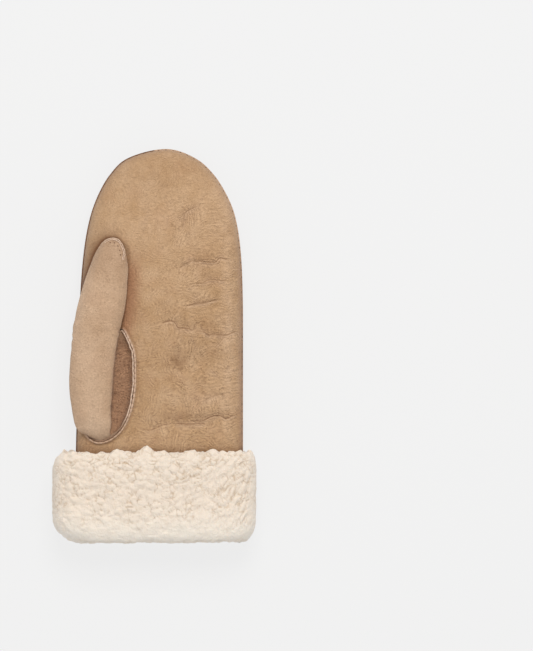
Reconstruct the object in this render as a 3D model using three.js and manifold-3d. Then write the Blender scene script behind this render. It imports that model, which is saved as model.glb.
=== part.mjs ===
// A left-hand sheepskin mitten, lying palm up with its back on the floor.
// Its leather side is outside and its wool inside, and the wool is turned out in a thick cuff.
// Millimetres: +X towards the little finger, +Y towards the fingertips, +Z up from the floor.
// The origin is under the middle of the mitten, on the floor.
import * as THREE from "three";
import Module from "manifold-3d";
import { mergeVertices } from "three/addons/utils/BufferGeometryUtils.js";

const wasm = await Module();
wasm.setup();

// Driving dimensions
const LENGTH = 268;
const CUFF_WIDTH = 139.4;
const CUFF_THICK = 45.4;
const CUFF_TOP = -69;
const LEATHER = 1.5;
const GAP = 0.3;
const PILE_INSIDE = 4.6;
const STRAP_WIDTH = 10;
const STRAP_THICK = 1.3;

const TIP_Y = LENGTH / 2;
const MOUTH_Y = -LENGTH / 2;
const LEATHER_END_Y = MOUTH_Y + 8;

// The body's outline from above, which is its outer seam: one row for each height on the palm.
const OUTLINE = [
  { y: LEATHER_END_Y, left: -54.5, right: 60.2 },
  { y: -95, left: -54.0, right: 60.2 },
  { y: -55, left: -53.0, right: 60.2 },
  { y: 0, left: -51.6, right: 60.2 },
  { y: 32, left: -50.7, right: 60.1 },
  { y: 60, left: -48.6, right: 59.0 },
  { y: 79, left: -45.8, right: 56.8 },
  { y: 93, left: -42.2, right: 53.4 },
  { y: 106, left: -36.8, right: 47.4 },
  { y: 117, left: -30.0, right: 40.0 },
  { y: 127, left: -19.6, right: 29.0 },
];
const TIP_X = 9;
const DOME = { x: 6, y: 79 };

// Levels along the body: the outer seam, the crown of the palm and the underside of the back.
const LEVELS = [
  { y: LEATHER_END_Y, seam: 21, palm: 34.1, back: 8.1 },
  { y: CUFF_TOP, seam: 21, palm: 34.1, back: 8.1 },
  { y: -45, seam: 19, palm: 33.2, back: 5.0 },
  { y: -20, seam: 16, palm: 32, back: 1.2 },
  { y: -5, seam: 14.6, palm: 31.2, back: 0 },
  { y: 40, seam: 13.6, palm: 30, back: 0 },
  { y: TIP_Y, seam: 13, palm: 27, back: 0 },
];
// The two panels lie flat together along the seam, over the flange's width, on both sides of its level.
const FLANGE = 1.8;
const SEAM_RISE = LEATHER + GAP / 2;

// Heights at which the body's sections stand, close together where it folds.
const SECTION_HEIGHTS = [
  LEATHER_END_Y, -97, CUFF_TOP, -63, -58, -53, -48, -42, -35, -26, -15, -6, 3, 9.5, 15, 22, 30, 37, 46,
  53, 59, 66, 73,
];
const PALM_ROUND = { radius: 25, power: 2.2 };
const BACK_ROUND = { radius: 17, power: 2.4 };

// Main folds of the palm and of the back, each along a line between two points.
const PALM_FOLDS = [
  { x0: 16, y0: 53, x1: 52, y1: 59, width: 4.5, depth: 1.1 },
  { x0: 24, y0: 30, x1: 44, y1: 30, width: 4.5, depth: 0.8 },
  { x0: 8, y0: 15, x1: 56, y1: 9.5, width: 4.5, depth: 1.0 },
  { x0: 12, y0: -15, x1: 28, y1: -12, width: 8, depth: 1.2 },
  { x0: 0, y0: -55, x1: 56, y1: -48, width: 5, depth: 1.3 },
  { x0: 40, y0: -35, x1: 52, y1: -35, width: 4, depth: 0.6 },
  { x0: 20, y0: 84, x1: 30, y1: 96, width: 5, depth: 0.6 },
];
const BACK_FOLDS = [
  { x0: 8, y0: -52, x1: 50, y1: -40, width: 4, depth: 1.0 },
  { x0: -30, y0: -58, x1: 10, y1: -60, width: 4, depth: 0.6 },
];

// The thumb lies on the palm in a shallow bed: a capsule that narrows towards its tip.
const BED = { x0: -39, y0: 13, r0: 18.5, x1: -28.8, y1: 61.5, r1: 13.6, floor: 24.4, lift: 9.5, slope: 14 };

// The thumb hole's edge, from the crotch down the side that shows, round the bottom and up the hidden side.
const HOLE_EDGE = [
  { x: -22.4, y: 11.6 },
  { x: -17.2, y: 3.4 },
  { x: -14.2, y: -4.5 },
  { x: -13.5, y: -18 },
  { x: -14.1, y: -32 },
  { x: -17.2, y: -46 },
  { x: -22.4, y: -56.4 },
  { x: -30.5, y: -63.4 },
  { x: -38.2, y: -65.2 },
  { x: -44.0, y: -62.4 },
  { x: -46.6, y: -56.6 },
  { x: -45.4, y: -46 },
  { x: -43.6, y: -30 },
  { x: -41.2, y: -14 },
  { x: -36.6, y: -1.5 },
  { x: -30.2, y: 7.0 },
];
// Steps along the hole's edge, from the crotch, over which its raw edges stand up.
const HOLE_STEPS = 64;
const LIP_STEPS = 37;
const LIP = { height: 2.2, thick: 1.3, palmFoot: 1.2, thumbFoot: 3.2, stand: 0.15 };
// How fast the raw edges rise from the crotch, and how fast they sink where the thumb hides them.
const LIP_RISE = { start: 9, end: 4 };
// The thumb's sheet ends this far inside the hole's edge, and this far below the palm's face.
const THUMB_FOOT = { inset: GAP + 0.1, drop: 1.3 };

// Thumb sections from its base to its tip. Up to the crotch the sheet ends on the hole's edge, and
// past it the ends meet at the seam. sag bends a section's middle towards the cuff.
const THUMB = [
  { y: -57.0, sag: 0.0, left: -46.6, right: -25.6, top: 31.2, under: 30.0, valley: 30.4, seam: 0 },
  { y: -54.6, sag: 5.4, left: -51.2, right: -26.0, top: 38.0, under: 31.6, valley: 31.0, seam: 0 },
  { y: -50.0, sag: 3.2, left: -53.9, right: -28.2, top: 42.0, under: 31.2, valley: 28.8, seam: 0 },
  { y: -42.0, sag: 1.0, left: -55.9, right: -29.2, top: 44.0, under: 30.8, valley: 26.8, seam: 0 },
  { y: -30.0, sag: 0.0, left: -57.2, right: -28.5, top: 44.9, under: 30.2, valley: 26.2, seam: 0 },
  { y: -17.0, sag: 0.0, left: -57.3, right: -27.4, top: 45.2, under: 29.4, valley: 26.4, seam: 0 },
  { y: -5.5, sag: 0.0, left: -56.8, right: -26.2, top: 45.2, under: 28.4, valley: 27.0, seam: 0 },
  { y: 2.5, sag: 0.0, left: -56.2, right: -24.9, top: 45.1, under: 27.4, valley: 28.0, seam: 0 },
  { y: 7.6, sag: 0.0, left: -55.7, right: -23.9, top: 44.9, under: 26.7, valley: 29.4, seam: 0 },
  { y: 12.6, sag: 0.0, left: -55.0, right: -22.9, top: 44.7, under: 26.1, valley: 0, seam: -24.6 },
  { y: 21.0, sag: 0.0, left: -53.3, right: -21.8, top: 44.4, under: 25.7, valley: 0, seam: -25.2 },
  { y: 33.0, sag: 0.0, left: -50.2, right: -20.6, top: 43.7, under: 25.6, valley: 0, seam: -24.6 },
  { y: 44.0, sag: 0.0, left: -46.3, right: -19.6, top: 42.9, under: 25.6, valley: 0, seam: -23.6 },
  { y: 53.0, sag: 0.0, left: -42.6, right: -18.8, top: 41.9, under: 25.7, valley: 0, seam: -22.6 },
  { y: 60.5, sag: 0.0, left: -39.3, right: -18.2, top: 40.7, under: 26.0, valley: 0, seam: -21.8 },
  { y: 66.0, sag: 0.0, left: -36.6, right: -18.4, top: 39.3, under: 26.8, valley: 0, seam: -21.8 },
  { y: 70.2, sag: 0.0, left: -33.4, right: -20.2, top: 37.3, under: 28.6, valley: 0, seam: -22.8 },
  { y: 72.6, sag: 0.0, left: -30.4, right: -22.8, top: 35.2, under: 31.0, valley: 0, seam: -24.6 },
];
const CROTCH_ROW = 9;
const THUMB_TIP = { x: -26.4, y: 73.4, z: 33.2 };

// The cuff's nested sleeves, each a flattened round section: the hollow, the inner face of the leather,
// the two faces of the turned-up skin, and the inner face of the wool.
const SKIN_GAP = GAP + 0.1;
const SLEEVES = {
  hollow: { side: -FLANGE - LEATHER - 2 * GAP - PILE_INSIDE, face: -LEATHER - 2 * GAP - PILE_INSIDE },
  leather: { side: -FLANGE - LEATHER - 2 * GAP, face: -LEATHER - 2 * GAP },
  skinInside: { side: 2 * GAP, face: SKIN_GAP },
  skinOutside: { side: 2 * GAP + LEATHER, face: SKIN_GAP + LEATHER },
  wool: { side: 3 * GAP + LEATHER, face: SKIN_GAP + LEATHER + GAP },
};
const SLEEVE_POWER = 2.5;
const CUFF_OUTER = {
  left: -CUFF_WIDTH / 2,
  right: CUFF_WIDTH / 2,
  bottom: 0,
  top: CUFF_THICK,
  seam: 22,
  topRadius: 23,
  bottomRadius: 20,
};

// The wool cuff's profile: a layer from 0, the hollow, to 3, the outside, at each height.
const CUFF_PROFILE = [
  { layer: 2.04, y: -72.5 },
  { layer: 2.1, y: -70.2 },
  { layer: 2.4, y: CUFF_TOP },
  { layer: 2.72, y: -70.2 },
  { layer: 2.92, y: -74 },
  { layer: 3, y: -80 },
  { layer: 3, y: -100 },
  { layer: 3, y: -118 },
  { layer: 2.93, y: -124 },
  { layer: 2.7, y: -129.5 },
  { layer: 2.3, y: -133 },
  { layer: 1.7, y: MOUTH_Y },
  { layer: 0.9, y: -133.2 },
  { layer: 0.35, y: -130.4 },
  { layer: 0.06, y: -126 },
  { layer: 0, y: -120 },
  { layer: 0.96, y: -120 },
  { layer: 0.96, y: -126.6 },
  { layer: 1.5, y: -127.4 },
  { layer: 2.04, y: -126.6 },
];
const LINING_END_Y = -119.6;
const SKIN_HEIGHTS = [CUFF_TOP - 2.4, -90, -108, LEATHER_END_Y];

// Room between the leather and the lining, over the pile's thickness.
const LINING_ROOM = { palm: 1.2, back: 1.1 };

// The beaded strap lies in the wool on the back of the cuff.
const STRAP = { x0: 44, y0: -72.5, x1: 40.5, y1: -115, lift: 0.25, slotDepth: 4 };

// Mesh steps
const DOME_STEPS = 16;
const CORNER_STEPS = 5;
const CROWN_STEPS = 4;
const THUMB_ROUND_STEPS = 26;
const SLEEVE_CORNER_STEPS = 6;
const SLEEVE_SPAN_STEPS = 6;
const STRAP_STEPS = 12;
const SEAM_STEPS = 67;

const COLOURS = {
  leather: 0xbf9f7c,
  thumb: 0xc8a887,
  wool: 0xeee2d2,
  metal: 0x8f8a86,
};

const BED_BLEND = 2.4;

// Levels between which the tools that cut the thumb hole run, and where the hole in the lining starts.
const CUT = { low: 0, high: 80, block: 5, lining: 18 };

const clamp = (value, low, high) => Math.min(high, Math.max(low, value));
const lerp = (a, b, t) => a + (b - a) * t;

// Value of a table's column at a height, by a cubic that never passes its rows' values.
function columnAt(rows, key, y) {
  if (y <= rows[0].y) return rows[0][key];
  const last = rows.length - 1;
  if (y >= rows[last].y) return rows[last][key];
  let i = 0;
  while (rows[i + 1].y < y) i += 1;
  const slopeOf = (k) => (rows[k + 1][key] - rows[k][key]) / (rows[k + 1].y - rows[k].y);
  const tangentOf = (k) => {
    if (k === 0 || k === last) return 0;
    const before = slopeOf(k - 1);
    const after = slopeOf(k);
    return before * after <= 0 ? 0 : (2 * before * after) / (before + after);
  };
  const span = rows[i + 1].y - rows[i].y;
  const t = (y - rows[i].y) / span;
  const t2 = t * t;
  const t3 = t2 * t;
  return (
    (2 * t3 - 3 * t2 + 1) * rows[i][key] +
    (t3 - 2 * t2 + t) * span * tangentOf(i) +
    (3 * t2 - 2 * t3) * rows[i + 1][key] +
    (t3 - t2) * span * tangentOf(i + 1)
  );
}

// Rises from 0 at the edge to 1 at the end of the rounding, as a superellipse does.
function puff(share, power) {
  const s = clamp(share, 0, 1);
  return Math.pow(1 - Math.pow(1 - s, power), 1 / power);
}

// The lesser of two levels, with their crossing rounded over the given width.
function smoothMin(a, b, width) {
  const h = clamp(0.5 + (0.5 * (b - a)) / width, 0, 1);
  return lerp(b, a, h) - width * h * (1 - h);
}

// The outline as a dense line of points, up the left side, over the tip and down the right side.
const outlineCurve = new THREE.CatmullRomCurve3(
  [
    ...OUTLINE.map((row) => new THREE.Vector3(row.left, row.y, 0)),
    new THREE.Vector3(TIP_X, TIP_Y, 0),
    ...OUTLINE.map((row) => new THREE.Vector3(row.right, row.y, 0)).reverse(),
  ],
  false,
  "centripetal",
);
const OUTLINE_SAMPLES = 420;
const outlinePoints = outlineCurve.getPoints(OUTLINE_SAMPLES);

function edgeDistance(x, y) {
  let least = Infinity;
  for (let i = 0; i + 1 < outlinePoints.length; i += 1) {
    const a = outlinePoints[i];
    const b = outlinePoints[i + 1];
    const dx = b.x - a.x;
    const dy = b.y - a.y;
    const t = clamp(((x - a.x) * dx + (y - a.y) * dy) / (dx * dx + dy * dy), 0, 1);
    least = Math.min(least, Math.hypot(x - a.x - dx * t, y - a.y - dy * t));
  }
  return least;
}

// Where a ray from the dome's centre, or a level line at height y, meets the outline.
function outlineAtAngle(angle) {
  const aim = (p) => Math.atan2(p.y - DOME.y, p.x - DOME.x);
  for (let i = 0; i + 1 < outlinePoints.length; i += 1) {
    const a = outlinePoints[i];
    const b = outlinePoints[i + 1];
    if (a.y < DOME.y - 1 || aim(a) < angle || aim(b) > angle) continue;
    return a.clone().lerp(b, (aim(a) - angle) / (aim(a) - aim(b)));
  }
  throw new Error("no outline at angle " + angle);
}

function outlineAtHeight(y, side) {
  const rows = side === "left" ? outlinePoints : [...outlinePoints].reverse();
  const i = rows.findIndex((p) => p.y > y);
  if (i <= 0) return rows[0].clone();
  return rows[i - 1].clone().lerp(rows[i], (y - rows[i - 1].y) / (rows[i].y - rows[i - 1].y));
}

function foldDepth(folds, x, y) {
  let depth = 0;
  for (const fold of folds) {
    const dx = fold.x1 - fold.x0;
    const dy = fold.y1 - fold.y0;
    const t = clamp(((x - fold.x0) * dx + (y - fold.y0) * dy) / (dx * dx + dy * dy), 0, 1);
    const away = Math.hypot(x - fold.x0 - dx * t, y - fold.y0 - dy * t) / fold.width;
    depth += fold.depth * Math.exp(-away * away);
  }
  return depth;
}

function bedLevel(x, y) {
  const dx = BED.x1 - BED.x0;
  const dy = BED.y1 - BED.y0;
  const t = clamp(((x - BED.x0) * dx + (y - BED.y0) * dy) / (dx * dx + dy * dy), 0, 1);
  const share = Math.hypot(x - BED.x0 - dx * t, y - BED.y0 - dy * t) / lerp(BED.r0, BED.r1, t);
  const bowl = 1 - Math.sqrt(1 - Math.min(share, 1) ** 2);
  return BED.floor + BED.lift * bowl + BED.slope * Math.max(0, share - 1);
}

function palmTop(x, y) {
  const seam = columnAt(LEVELS, "seam", y) + SEAM_RISE;
  const rise = columnAt(LEVELS, "palm", y) - seam;
  const crown = puff((edgeDistance(x, y) - FLANGE) / PALM_ROUND.radius, PALM_ROUND.power);
  const open = seam + (rise - foldDepth(PALM_FOLDS, x, y)) * crown;
  return smoothMin(open, bedLevel(x, y), BED_BLEND);
}

function backUnder(x, y) {
  const seam = columnAt(LEVELS, "seam", y) - SEAM_RISE;
  const drop = seam - columnAt(LEVELS, "back", y);
  const crown = puff((edgeDistance(x, y) - FLANGE) / BACK_ROUND.radius, BACK_ROUND.power);
  return seam - (drop - foldDepth(BACK_FOLDS, x, y)) * crown;
}

// An open or closed surface under construction: points that fall together are one vertex.
class Surface {
  constructor() {
    this.points = [];
    this.faces = [];
    this.seen = new Map();
  }

  vertex(p) {
    const key = [p.x, p.y, p.z].map((v) => Math.round(v * 1e4)).join();
    if (!this.seen.has(key)) {
      this.seen.set(key, this.points.length);
      this.points.push(p.clone());
    }
    return this.seen.get(key);
  }

  triangle(a, b, c) {
    if (a !== b && b !== c && c !== a) this.faces.push([a, b, c]);
  }

  // Rows of points joined by pairs of triangles, each pair split along its shorter diagonal.
  grid(rows, wrapPoints = false, wrapRows = false) {
    const ids = rows.map((row) => row.map((p) => this.vertex(p)));
    const rowCount = ids.length - (wrapRows ? 0 : 1);
    for (let j = 0; j < rowCount; j += 1) {
      const here = ids[j];
      const next = ids[(j + 1) % ids.length];
      const count = here.length - (wrapPoints ? 0 : 1);
      for (let i = 0; i < count; i += 1) {
        const k = (i + 1) % here.length;
        const rising = this.points[here[i]].distanceTo(this.points[next[k]]);
        const falling = this.points[here[k]].distanceTo(this.points[next[i]]);
        const [a, b] = rising < falling ? [here[i], next[k]] : [here[k], next[i]];
        this.triangle(here[i], here[k], b);
        this.triangle(a, next[k], next[i]);
      }
    }
    return ids;
  }

  flip() {
    this.faces = this.faces.map(([a, b, c]) => [a, c, b]);
    return this;
  }

  normals() {
    const sums = this.points.map(() => new THREE.Vector3());
    for (const [a, b, c] of this.faces) {
      const ab = this.points[b].clone().sub(this.points[a]);
      const ac = this.points[c].clone().sub(this.points[a]);
      const face = ab.cross(ac);
      for (const k of [a, b, c]) sums[k].add(face);
    }
    return sums.map((n) => n.normalize());
  }

  // A closed wall of the given thickness, inwards from this surface.
  thicken(thickness) {
    return this.closeTo(this.normals().map((n, i) => this.points[i].clone().addScaledVector(n, -thickness)));
  }

  // A block from this surface, raised by the rise, down to a level.
  blockTo(level, rise) {
    const inner = this.points.map((p) => new THREE.Vector3(p.x, p.y, level));
    this.points.forEach((p) => p.setZ(p.z + rise));
    return this.closeTo(inner);
  }

  closeTo(inner) {
    const count = this.points.length;
    const wall = new Surface();
    wall.points = [...this.points, ...inner];
    wall.faces = [...this.faces, ...this.faces.map(([a, b, c]) => [a + count, c + count, b + count])];
    const edges = new Set(this.faces.flatMap(([a, b, c]) => [[a, b], [b, c], [c, a]].map((e) => e.join())));
    for (const edge of edges) {
      const [a, b] = edge.split(",").map(Number);
      if (edges.has([b, a].join())) continue;
      wall.triangle(b, a, a + count);
      wall.triangle(b, a + count, b + count);
    }
    return wall;
  }

  solid() {
    const vertProperties = new Float32Array(this.points.flatMap((p) => [p.x, p.y, p.z]));
    const triVerts = new Uint32Array(this.faces.flat());
    return new wasm.Manifold(new wasm.Mesh({ numProp: 3, vertProperties, triVerts }));
  }
}

function solidOfGeometry(geometry) {
  const bare = geometry.clone();
  bare.deleteAttribute("normal");
  bare.deleteAttribute("uv");
  const merged = mergeVertices(bare, 1e-4);
  return new wasm.Manifold(
    new wasm.Mesh({
      numProp: 3,
      vertProperties: merged.attributes.position.array,
      triVerts: new Uint32Array(merged.index.array),
    }),
  );
}

function geometryOf(solid) {
  const mesh = solid.getMesh();
  const geometry = new THREE.BufferGeometry();
  geometry.setAttribute("position", new THREE.BufferAttribute(new Float32Array(mesh.vertProperties), 3));
  geometry.setIndex(new THREE.BufferAttribute(new Uint32Array(mesh.triVerts), 1));
  geometry.computeVertexNormals();
  return geometry;
}

// Columns across the body's plan: each runs from the outline in to the spine.
function planColumns(inset, endY) {
  const columns = [];
  const add = (edge, way, spine) => {
    const start = edge.clone().addScaledVector(way, inset);
    columns.push({ start, way, spine });
  };
  const heights = [endY, ...SECTION_HEIGHTS.filter((y) => y > endY + 1), DOME.y];
  const sideOf = (y, side) => {
    const edge = outlineAtHeight(y, side);
    const low = outlineAtHeight(y - 1, side);
    const high = outlineAtHeight(y + 1, side);
    const turn = side === "left" ? 1 : -1;
    const level = y === endY || y === DOME.y;
    const way = level
      ? new THREE.Vector3(turn, 0, 0)
      : new THREE.Vector3((high.y - low.y) * turn, (low.x - high.x) * turn, 0).normalize();
    add(edge, way, new THREE.Vector3(DOME.x, y, 0));
  };
  heights.forEach((y) => sideOf(y, "left"));
  for (let i = 1; i < DOME_STEPS; i += 1) {
    const edge = outlineAtAngle(Math.PI * (1 - i / DOME_STEPS));
    const centre = new THREE.Vector3(DOME.x, DOME.y, 0);
    add(edge, centre.clone().sub(edge).normalize(), centre);
  }
  heights.reverse().forEach((y) => sideOf(y, "right"));
  return columns;
}

// A panel's outer surface, over the plan between the outline and the spine.
function panelSurface({ round, level, inset, flange, endY }) {
  const offsets = flange > 0 ? [0, flange] : [0];
  for (let i = 1; i <= CORNER_STEPS; i += 1) {
    const angle = (Math.PI / 2) * (i / CORNER_STEPS);
    offsets.push(flange + round.radius * (1 - Math.pow(Math.cos(angle), 2 / round.power)));
  }
  const rows = planColumns(inset, endY).map(({ start, way, spine }) => {
    const flatPoints = offsets.map((d) => start.clone().addScaledVector(way, d));
    const last = flatPoints[flatPoints.length - 1];
    for (let i = 1; i <= CROWN_STEPS; i += 1) flatPoints.push(last.clone().lerp(spine, i / CROWN_STEPS));
    return flatPoints.map((p) => new THREE.Vector3(p.x, p.y, level(p.x, p.y)));
  });
  const surface = new Surface();
  surface.grid(rows);
  return surface;
}

// The thumb hole
const holeCurve = new THREE.CatmullRomCurve3(
  HOLE_EDGE.map((p) => new THREE.Vector3(p.x, p.y, 0)),
  true,
  "centripetal",
);

// The hole's edge as a loop of points, moved in by the inset.
function holeLoop(inset) {
  return Array.from({ length: HOLE_STEPS }, (_, i) => {
    const along = holeCurve.getTangentAt(i / HOLE_STEPS);
    const p = holeCurve.getPointAt(i / HOLE_STEPS);
    return new THREE.Vector3(p.x + along.y * inset, p.y - along.x * inset, 0);
  });
}

function holePrism(low, high, inset = 0) {
  const shape = new THREE.Shape(holeLoop(inset).map((p) => new THREE.Vector2(p.x, p.y)));
  const geometry = new THREE.ExtrudeGeometry(shape, { depth: high - low, bevelEnabled: false });
  return solidOfGeometry(geometry.translate(0, 0, low));
}

// Where a level line crosses the inset edge of the hole.
function holeAtHeight(y, side, inset) {
  const loop = holeLoop(inset);
  const crossings = loop.flatMap((p, i) => {
    const q = loop[(i + 1) % loop.length];
    return p.y > y === q.y > y ? [] : [lerp(p.x, q.x, (y - p.y) / (q.y - p.y))];
  });
  return side === "left" ? Math.min(...crossings) : Math.max(...crossings);
}

// A raw leather edge that stands up along the part of the hole that shows.
function holeLip(nearOffset, farOffset, foot, rise = 0) {
  const rows = [];
  const edge = holeLoop(0);
  const near = holeLoop(-nearOffset);
  const far = holeLoop(-farOffset);
  for (let i = 0; i <= LIP_STEPS; i += 1) {
    const share = i / LIP_STEPS;
    const level = palmTop(edge[i].x, edge[i].y);
    const low = level - foot;
    const swell = puff(Math.min(share * LIP_RISE.start, (1 - share) * LIP_RISE.end), 2);
    const high = level + LIP.stand + rise + LIP.height * swell;
    rows.push([
      near[i].clone().setZ(low),
      far[i].clone().setZ(low),
      far[i].clone().setZ(high),
      near[i].clone().setZ(high),
    ]);
  }
  const surface = new Surface();
  const ids = surface.grid(rows, true);
  const [a, b, c, d] = ids[0];
  const [e, f, g, h] = ids[LIP_STEPS];
  for (const face of [[a, c, b], [a, d, c], [e, f, g], [e, g, h]]) surface.triangle(...face);
  const made = surface.solid();
  return made.volume() < 0 ? surface.flip().solid() : made;
}

function palmSurface() {
  return panelSurface({
    round: PALM_ROUND,
    level: palmTop,
    inset: 0,
    flange: FLANGE,
    endY: LEATHER_END_Y,
  });
}

function makePalm() {
  const sheet = palmSurface().thicken(LEATHER).solid();
  return sheet.subtract(holePrism(CUT.low, CUT.high)).add(holeLip(0, LIP.thick, LIP.palmFoot));
}

function makeBack() {
  const surface = panelSurface({
    round: BACK_ROUND,
    level: backUnder,
    inset: 0,
    flange: FLANGE,
    endY: LEATHER_END_Y,
  });
  return surface.flip().thicken(LEATHER).solid();
}

// Guide points of one thumb section, from its left end over the top to its right end.
function thumbGuide(row, index) {
  const width = row.right - row.left;
  const middle = (row.left + row.right) / 2;
  const at = (x, z) => new THREE.Vector3(x, row.y, z);
  const over = (x, rise) => Math.max(palmTop(x, row.y) + rise, row.under);
  const belly = lerp(row.under, row.top, 0.5);
  if (index >= CROTCH_ROW) {
    const seam = at(row.seam, over(row.seam, 1.3));
    return [
      seam,
      at(lerp(row.seam, middle, 0.55), over(lerp(row.seam, middle, 0.55), 1.2)),
      at(lerp(middle, row.left, 0.45), over(lerp(middle, row.left, 0.45), 1.2)),
      at(lerp(middle, row.left, 0.87), lerp(row.under, belly, 0.42)),
      at(row.left, belly),
      at(row.left + width * 0.2, lerp(belly, row.top, 0.8)),
      at(middle, row.top),
      at(row.right - width * 0.17, lerp(belly, row.top, 0.82)),
      at(row.right, belly + 1),
      seam.clone(),
    ];
  }
  const footLeft = holeAtHeight(row.y, "left", THUMB_FOOT.inset);
  const footRight = holeAtHeight(row.y, "right", THUMB_FOOT.inset);
  const rim = palmTop(footLeft - 0.8, row.y);
  const rimRight = palmTop(footRight + 0.8, row.y);
  return [
    at(footLeft, rim - THUMB_FOOT.drop),
    at(footLeft - 0.1, rim + 0.3),
    at(footLeft - 1.8, Math.max(rim + 1, row.under - 0.4)),
    at(lerp(footLeft, row.left, 0.45), row.under),
    at(lerp(footLeft, row.left, 0.85), lerp(row.under, belly, 0.42)),
    at(row.left, belly),
    at(row.left + width * 0.2, lerp(belly, row.top, 0.8)),
    at(middle, row.top),
    at(row.right - width * 0.14, lerp(row.valley, row.top, 0.82)),
    at(row.right, lerp(row.valley, row.top, 0.42)),
    at(lerp(row.right, footRight, 0.22), row.valley + 0.6),
    at(lerp(row.right, footRight, 0.6), row.valley),
    at(lerp(row.right, footRight, 0.85), lerp(row.valley, rimRight, 0.3)),
    at(footRight, Math.max(rimRight - 1.9, row.valley + 0.5)),
  ];
}

// The sheet's first line of points follows the hole's edge round its bottom.
function thumbFirstSection(row) {
  const loop = holeLoop(THUMB_FOOT.inset).filter((p) => p.y < row.y);
  const endOf = (side) => new THREE.Vector3(holeAtHeight(row.y, side, THUMB_FOOT.inset), row.y, 0);
  const points = [endOf("left"), ...loop.sort((p, q) => p.x - q.x), endOf("right")];
  points.forEach((p) => p.setZ(palmTop(p.x, p.y) - THUMB_FOOT.drop));
  return new THREE.CatmullRomCurve3(points, false, "centripetal").getSpacedPoints(THUMB_ROUND_STEPS);
}

function thumbSection(row, index) {
  if (index === 0) return thumbFirstSection(row);
  const curve = new THREE.CatmullRomCurve3(thumbGuide(row, index), false, "centripetal");
  const points = curve.getSpacedPoints(THUMB_ROUND_STEPS);
  points.forEach((p, i) => {
    p.y -= row.sag * Math.max(0, Math.sin((Math.PI * i) / THUMB_ROUND_STEPS));
  });
  return points;
}

function makeThumb() {
  const surface = new Surface();
  const ids = surface.grid(THUMB.map(thumbSection));
  const tip = surface.vertex(new THREE.Vector3(THUMB_TIP.x, THUMB_TIP.y, THUMB_TIP.z));
  const last = ids[ids.length - 1];
  for (let i = 0; i + 1 < last.length; i += 1) surface.triangle(last[i], last[i + 1], tip);
  const sheet = surface.thicken(LEATHER).solid();
  const hole = holePrism(CUT.low, CUT.high, GAP);
  const palmRoom = palmSurface().blockTo(CUT.block, 2 * GAP).solid().subtract(hole);
  const lipRoom = holeLip(-GAP, LIP.thick + GAP, 1, GAP);
  const lip = holeLip(-GAP - LIP.thick, -GAP, LIP.thumbFoot);
  return sheet.subtract(palmRoom).subtract(lipRoom).add(lip);
}

// All that lies above the level of the outer seam, or below it, less half a gap.
function seamBlock(above) {
  const farLevel = above ? CUT.high : -CUT.high;
  const shift = (above ? 1 : -1) * (GAP / 2);
  const shape = new THREE.Shape();
  shape.moveTo(-LENGTH, farLevel);
  for (let i = 0; i <= SEAM_STEPS; i += 1) {
    const y = lerp(-LENGTH, LENGTH, i / SEAM_STEPS);
    shape.lineTo(y, columnAt(LEVELS, "seam", y) + shift);
  }
  shape.lineTo(LENGTH, farLevel);
  const geometry = new THREE.ExtrudeGeometry(shape, { depth: 2 * CUFF_WIDTH, bevelEnabled: false });
  const turn = new THREE.Matrix4().makeBasis(
    new THREE.Vector3(0, 1, 0),
    new THREE.Vector3(0, 0, 1),
    new THREE.Vector3(1, 0, 0),
  );
  return solidOfGeometry(geometry.applyMatrix4(turn).translate(-CUFF_WIDTH, 0, 0));
}

// The two hides' wool, inside the leather: the palm's and the back's, which meet at the seam.
function makeLinings() {
  const inset = -SLEEVES.leather.side;
  const drop = -SLEEVES.leather.face;
  const topRound = { radius: PALM_ROUND.radius - drop, power: PALM_ROUND.power };
  const underRound = { radius: BACK_ROUND.radius - drop, power: BACK_ROUND.power };
  const within = (x, y, round) => puff((edgeDistance(x, y) - inset) / round.radius, round.power);
  const innerTop = (x, y) => {
    const crown = columnAt(LEVELS, "palm", y) - drop - LINING_ROOM.palm;
    const open = lerp(columnAt(LEVELS, "seam", y), crown, within(x, y, topRound));
    return smoothMin(open, bedLevel(x, y) - drop, BED_BLEND);
  };
  const innerUnder = (x, y) => {
    const crown = columnAt(LEVELS, "back", y) + drop + LINING_ROOM.back;
    return lerp(columnAt(LEVELS, "seam", y), crown, within(x, y, underRound));
  };
  const plan = { inset, flange: 0, endY: LINING_END_Y };
  const top = panelSurface({ round: topRound, level: innerTop, ...plan });
  const under = panelSurface({ round: underRound, level: innerUnder, ...plan }).flip();
  const bag = new Surface();
  for (const half of [top, under]) {
    const ids = half.points.map((p) => bag.vertex(p));
    half.faces.forEach(([a, b, c]) => bag.triangle(ids[a], ids[b], ids[c]));
  }
  const wool = bag.thicken(PILE_INSIDE).solid().subtract(holePrism(CUT.lining, CUT.high));
  return { palm: wool.intersect(seamBlock(true)), back: wool.intersect(seamBlock(false)) };
}

// One nested sleeve of the cuff: points round a flattened section, from the left seam over the palm side.
function sleeveSection({ left, right, bottom, top, seam, topRadius, bottomRadius }) {
  const points = [];
  const corner = (x, inward, z, radius, reverse) => {
    for (let i = 0; i < SLEEVE_CORNER_STEPS; i += 1) {
      const share = i / SLEEVE_CORNER_STEPS;
      const angle = (Math.PI / 2) * (reverse ? 1 - share : share);
      const run = radius * (1 - Math.pow(Math.cos(angle), 2 / SLEEVE_POWER));
      const rise = (z - seam) * Math.pow(Math.sin(angle), 2 / SLEEVE_POWER);
      points.push({ x: x + inward * run, z: seam + rise });
    }
  };
  const span = (from, to, z) => {
    for (let i = 0; i < SLEEVE_SPAN_STEPS; i += 1) {
      points.push({ x: lerp(from, to, i / SLEEVE_SPAN_STEPS), z });
    }
  };
  corner(left, 1, top, topRadius, false);
  span(left + topRadius, right - topRadius, top);
  corner(right, -1, top, topRadius, true);
  corner(right, -1, bottom, bottomRadius, false);
  span(right - bottomRadius, left + bottomRadius, bottom);
  corner(left, 1, bottom, bottomRadius, true);
  return points;
}

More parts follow.
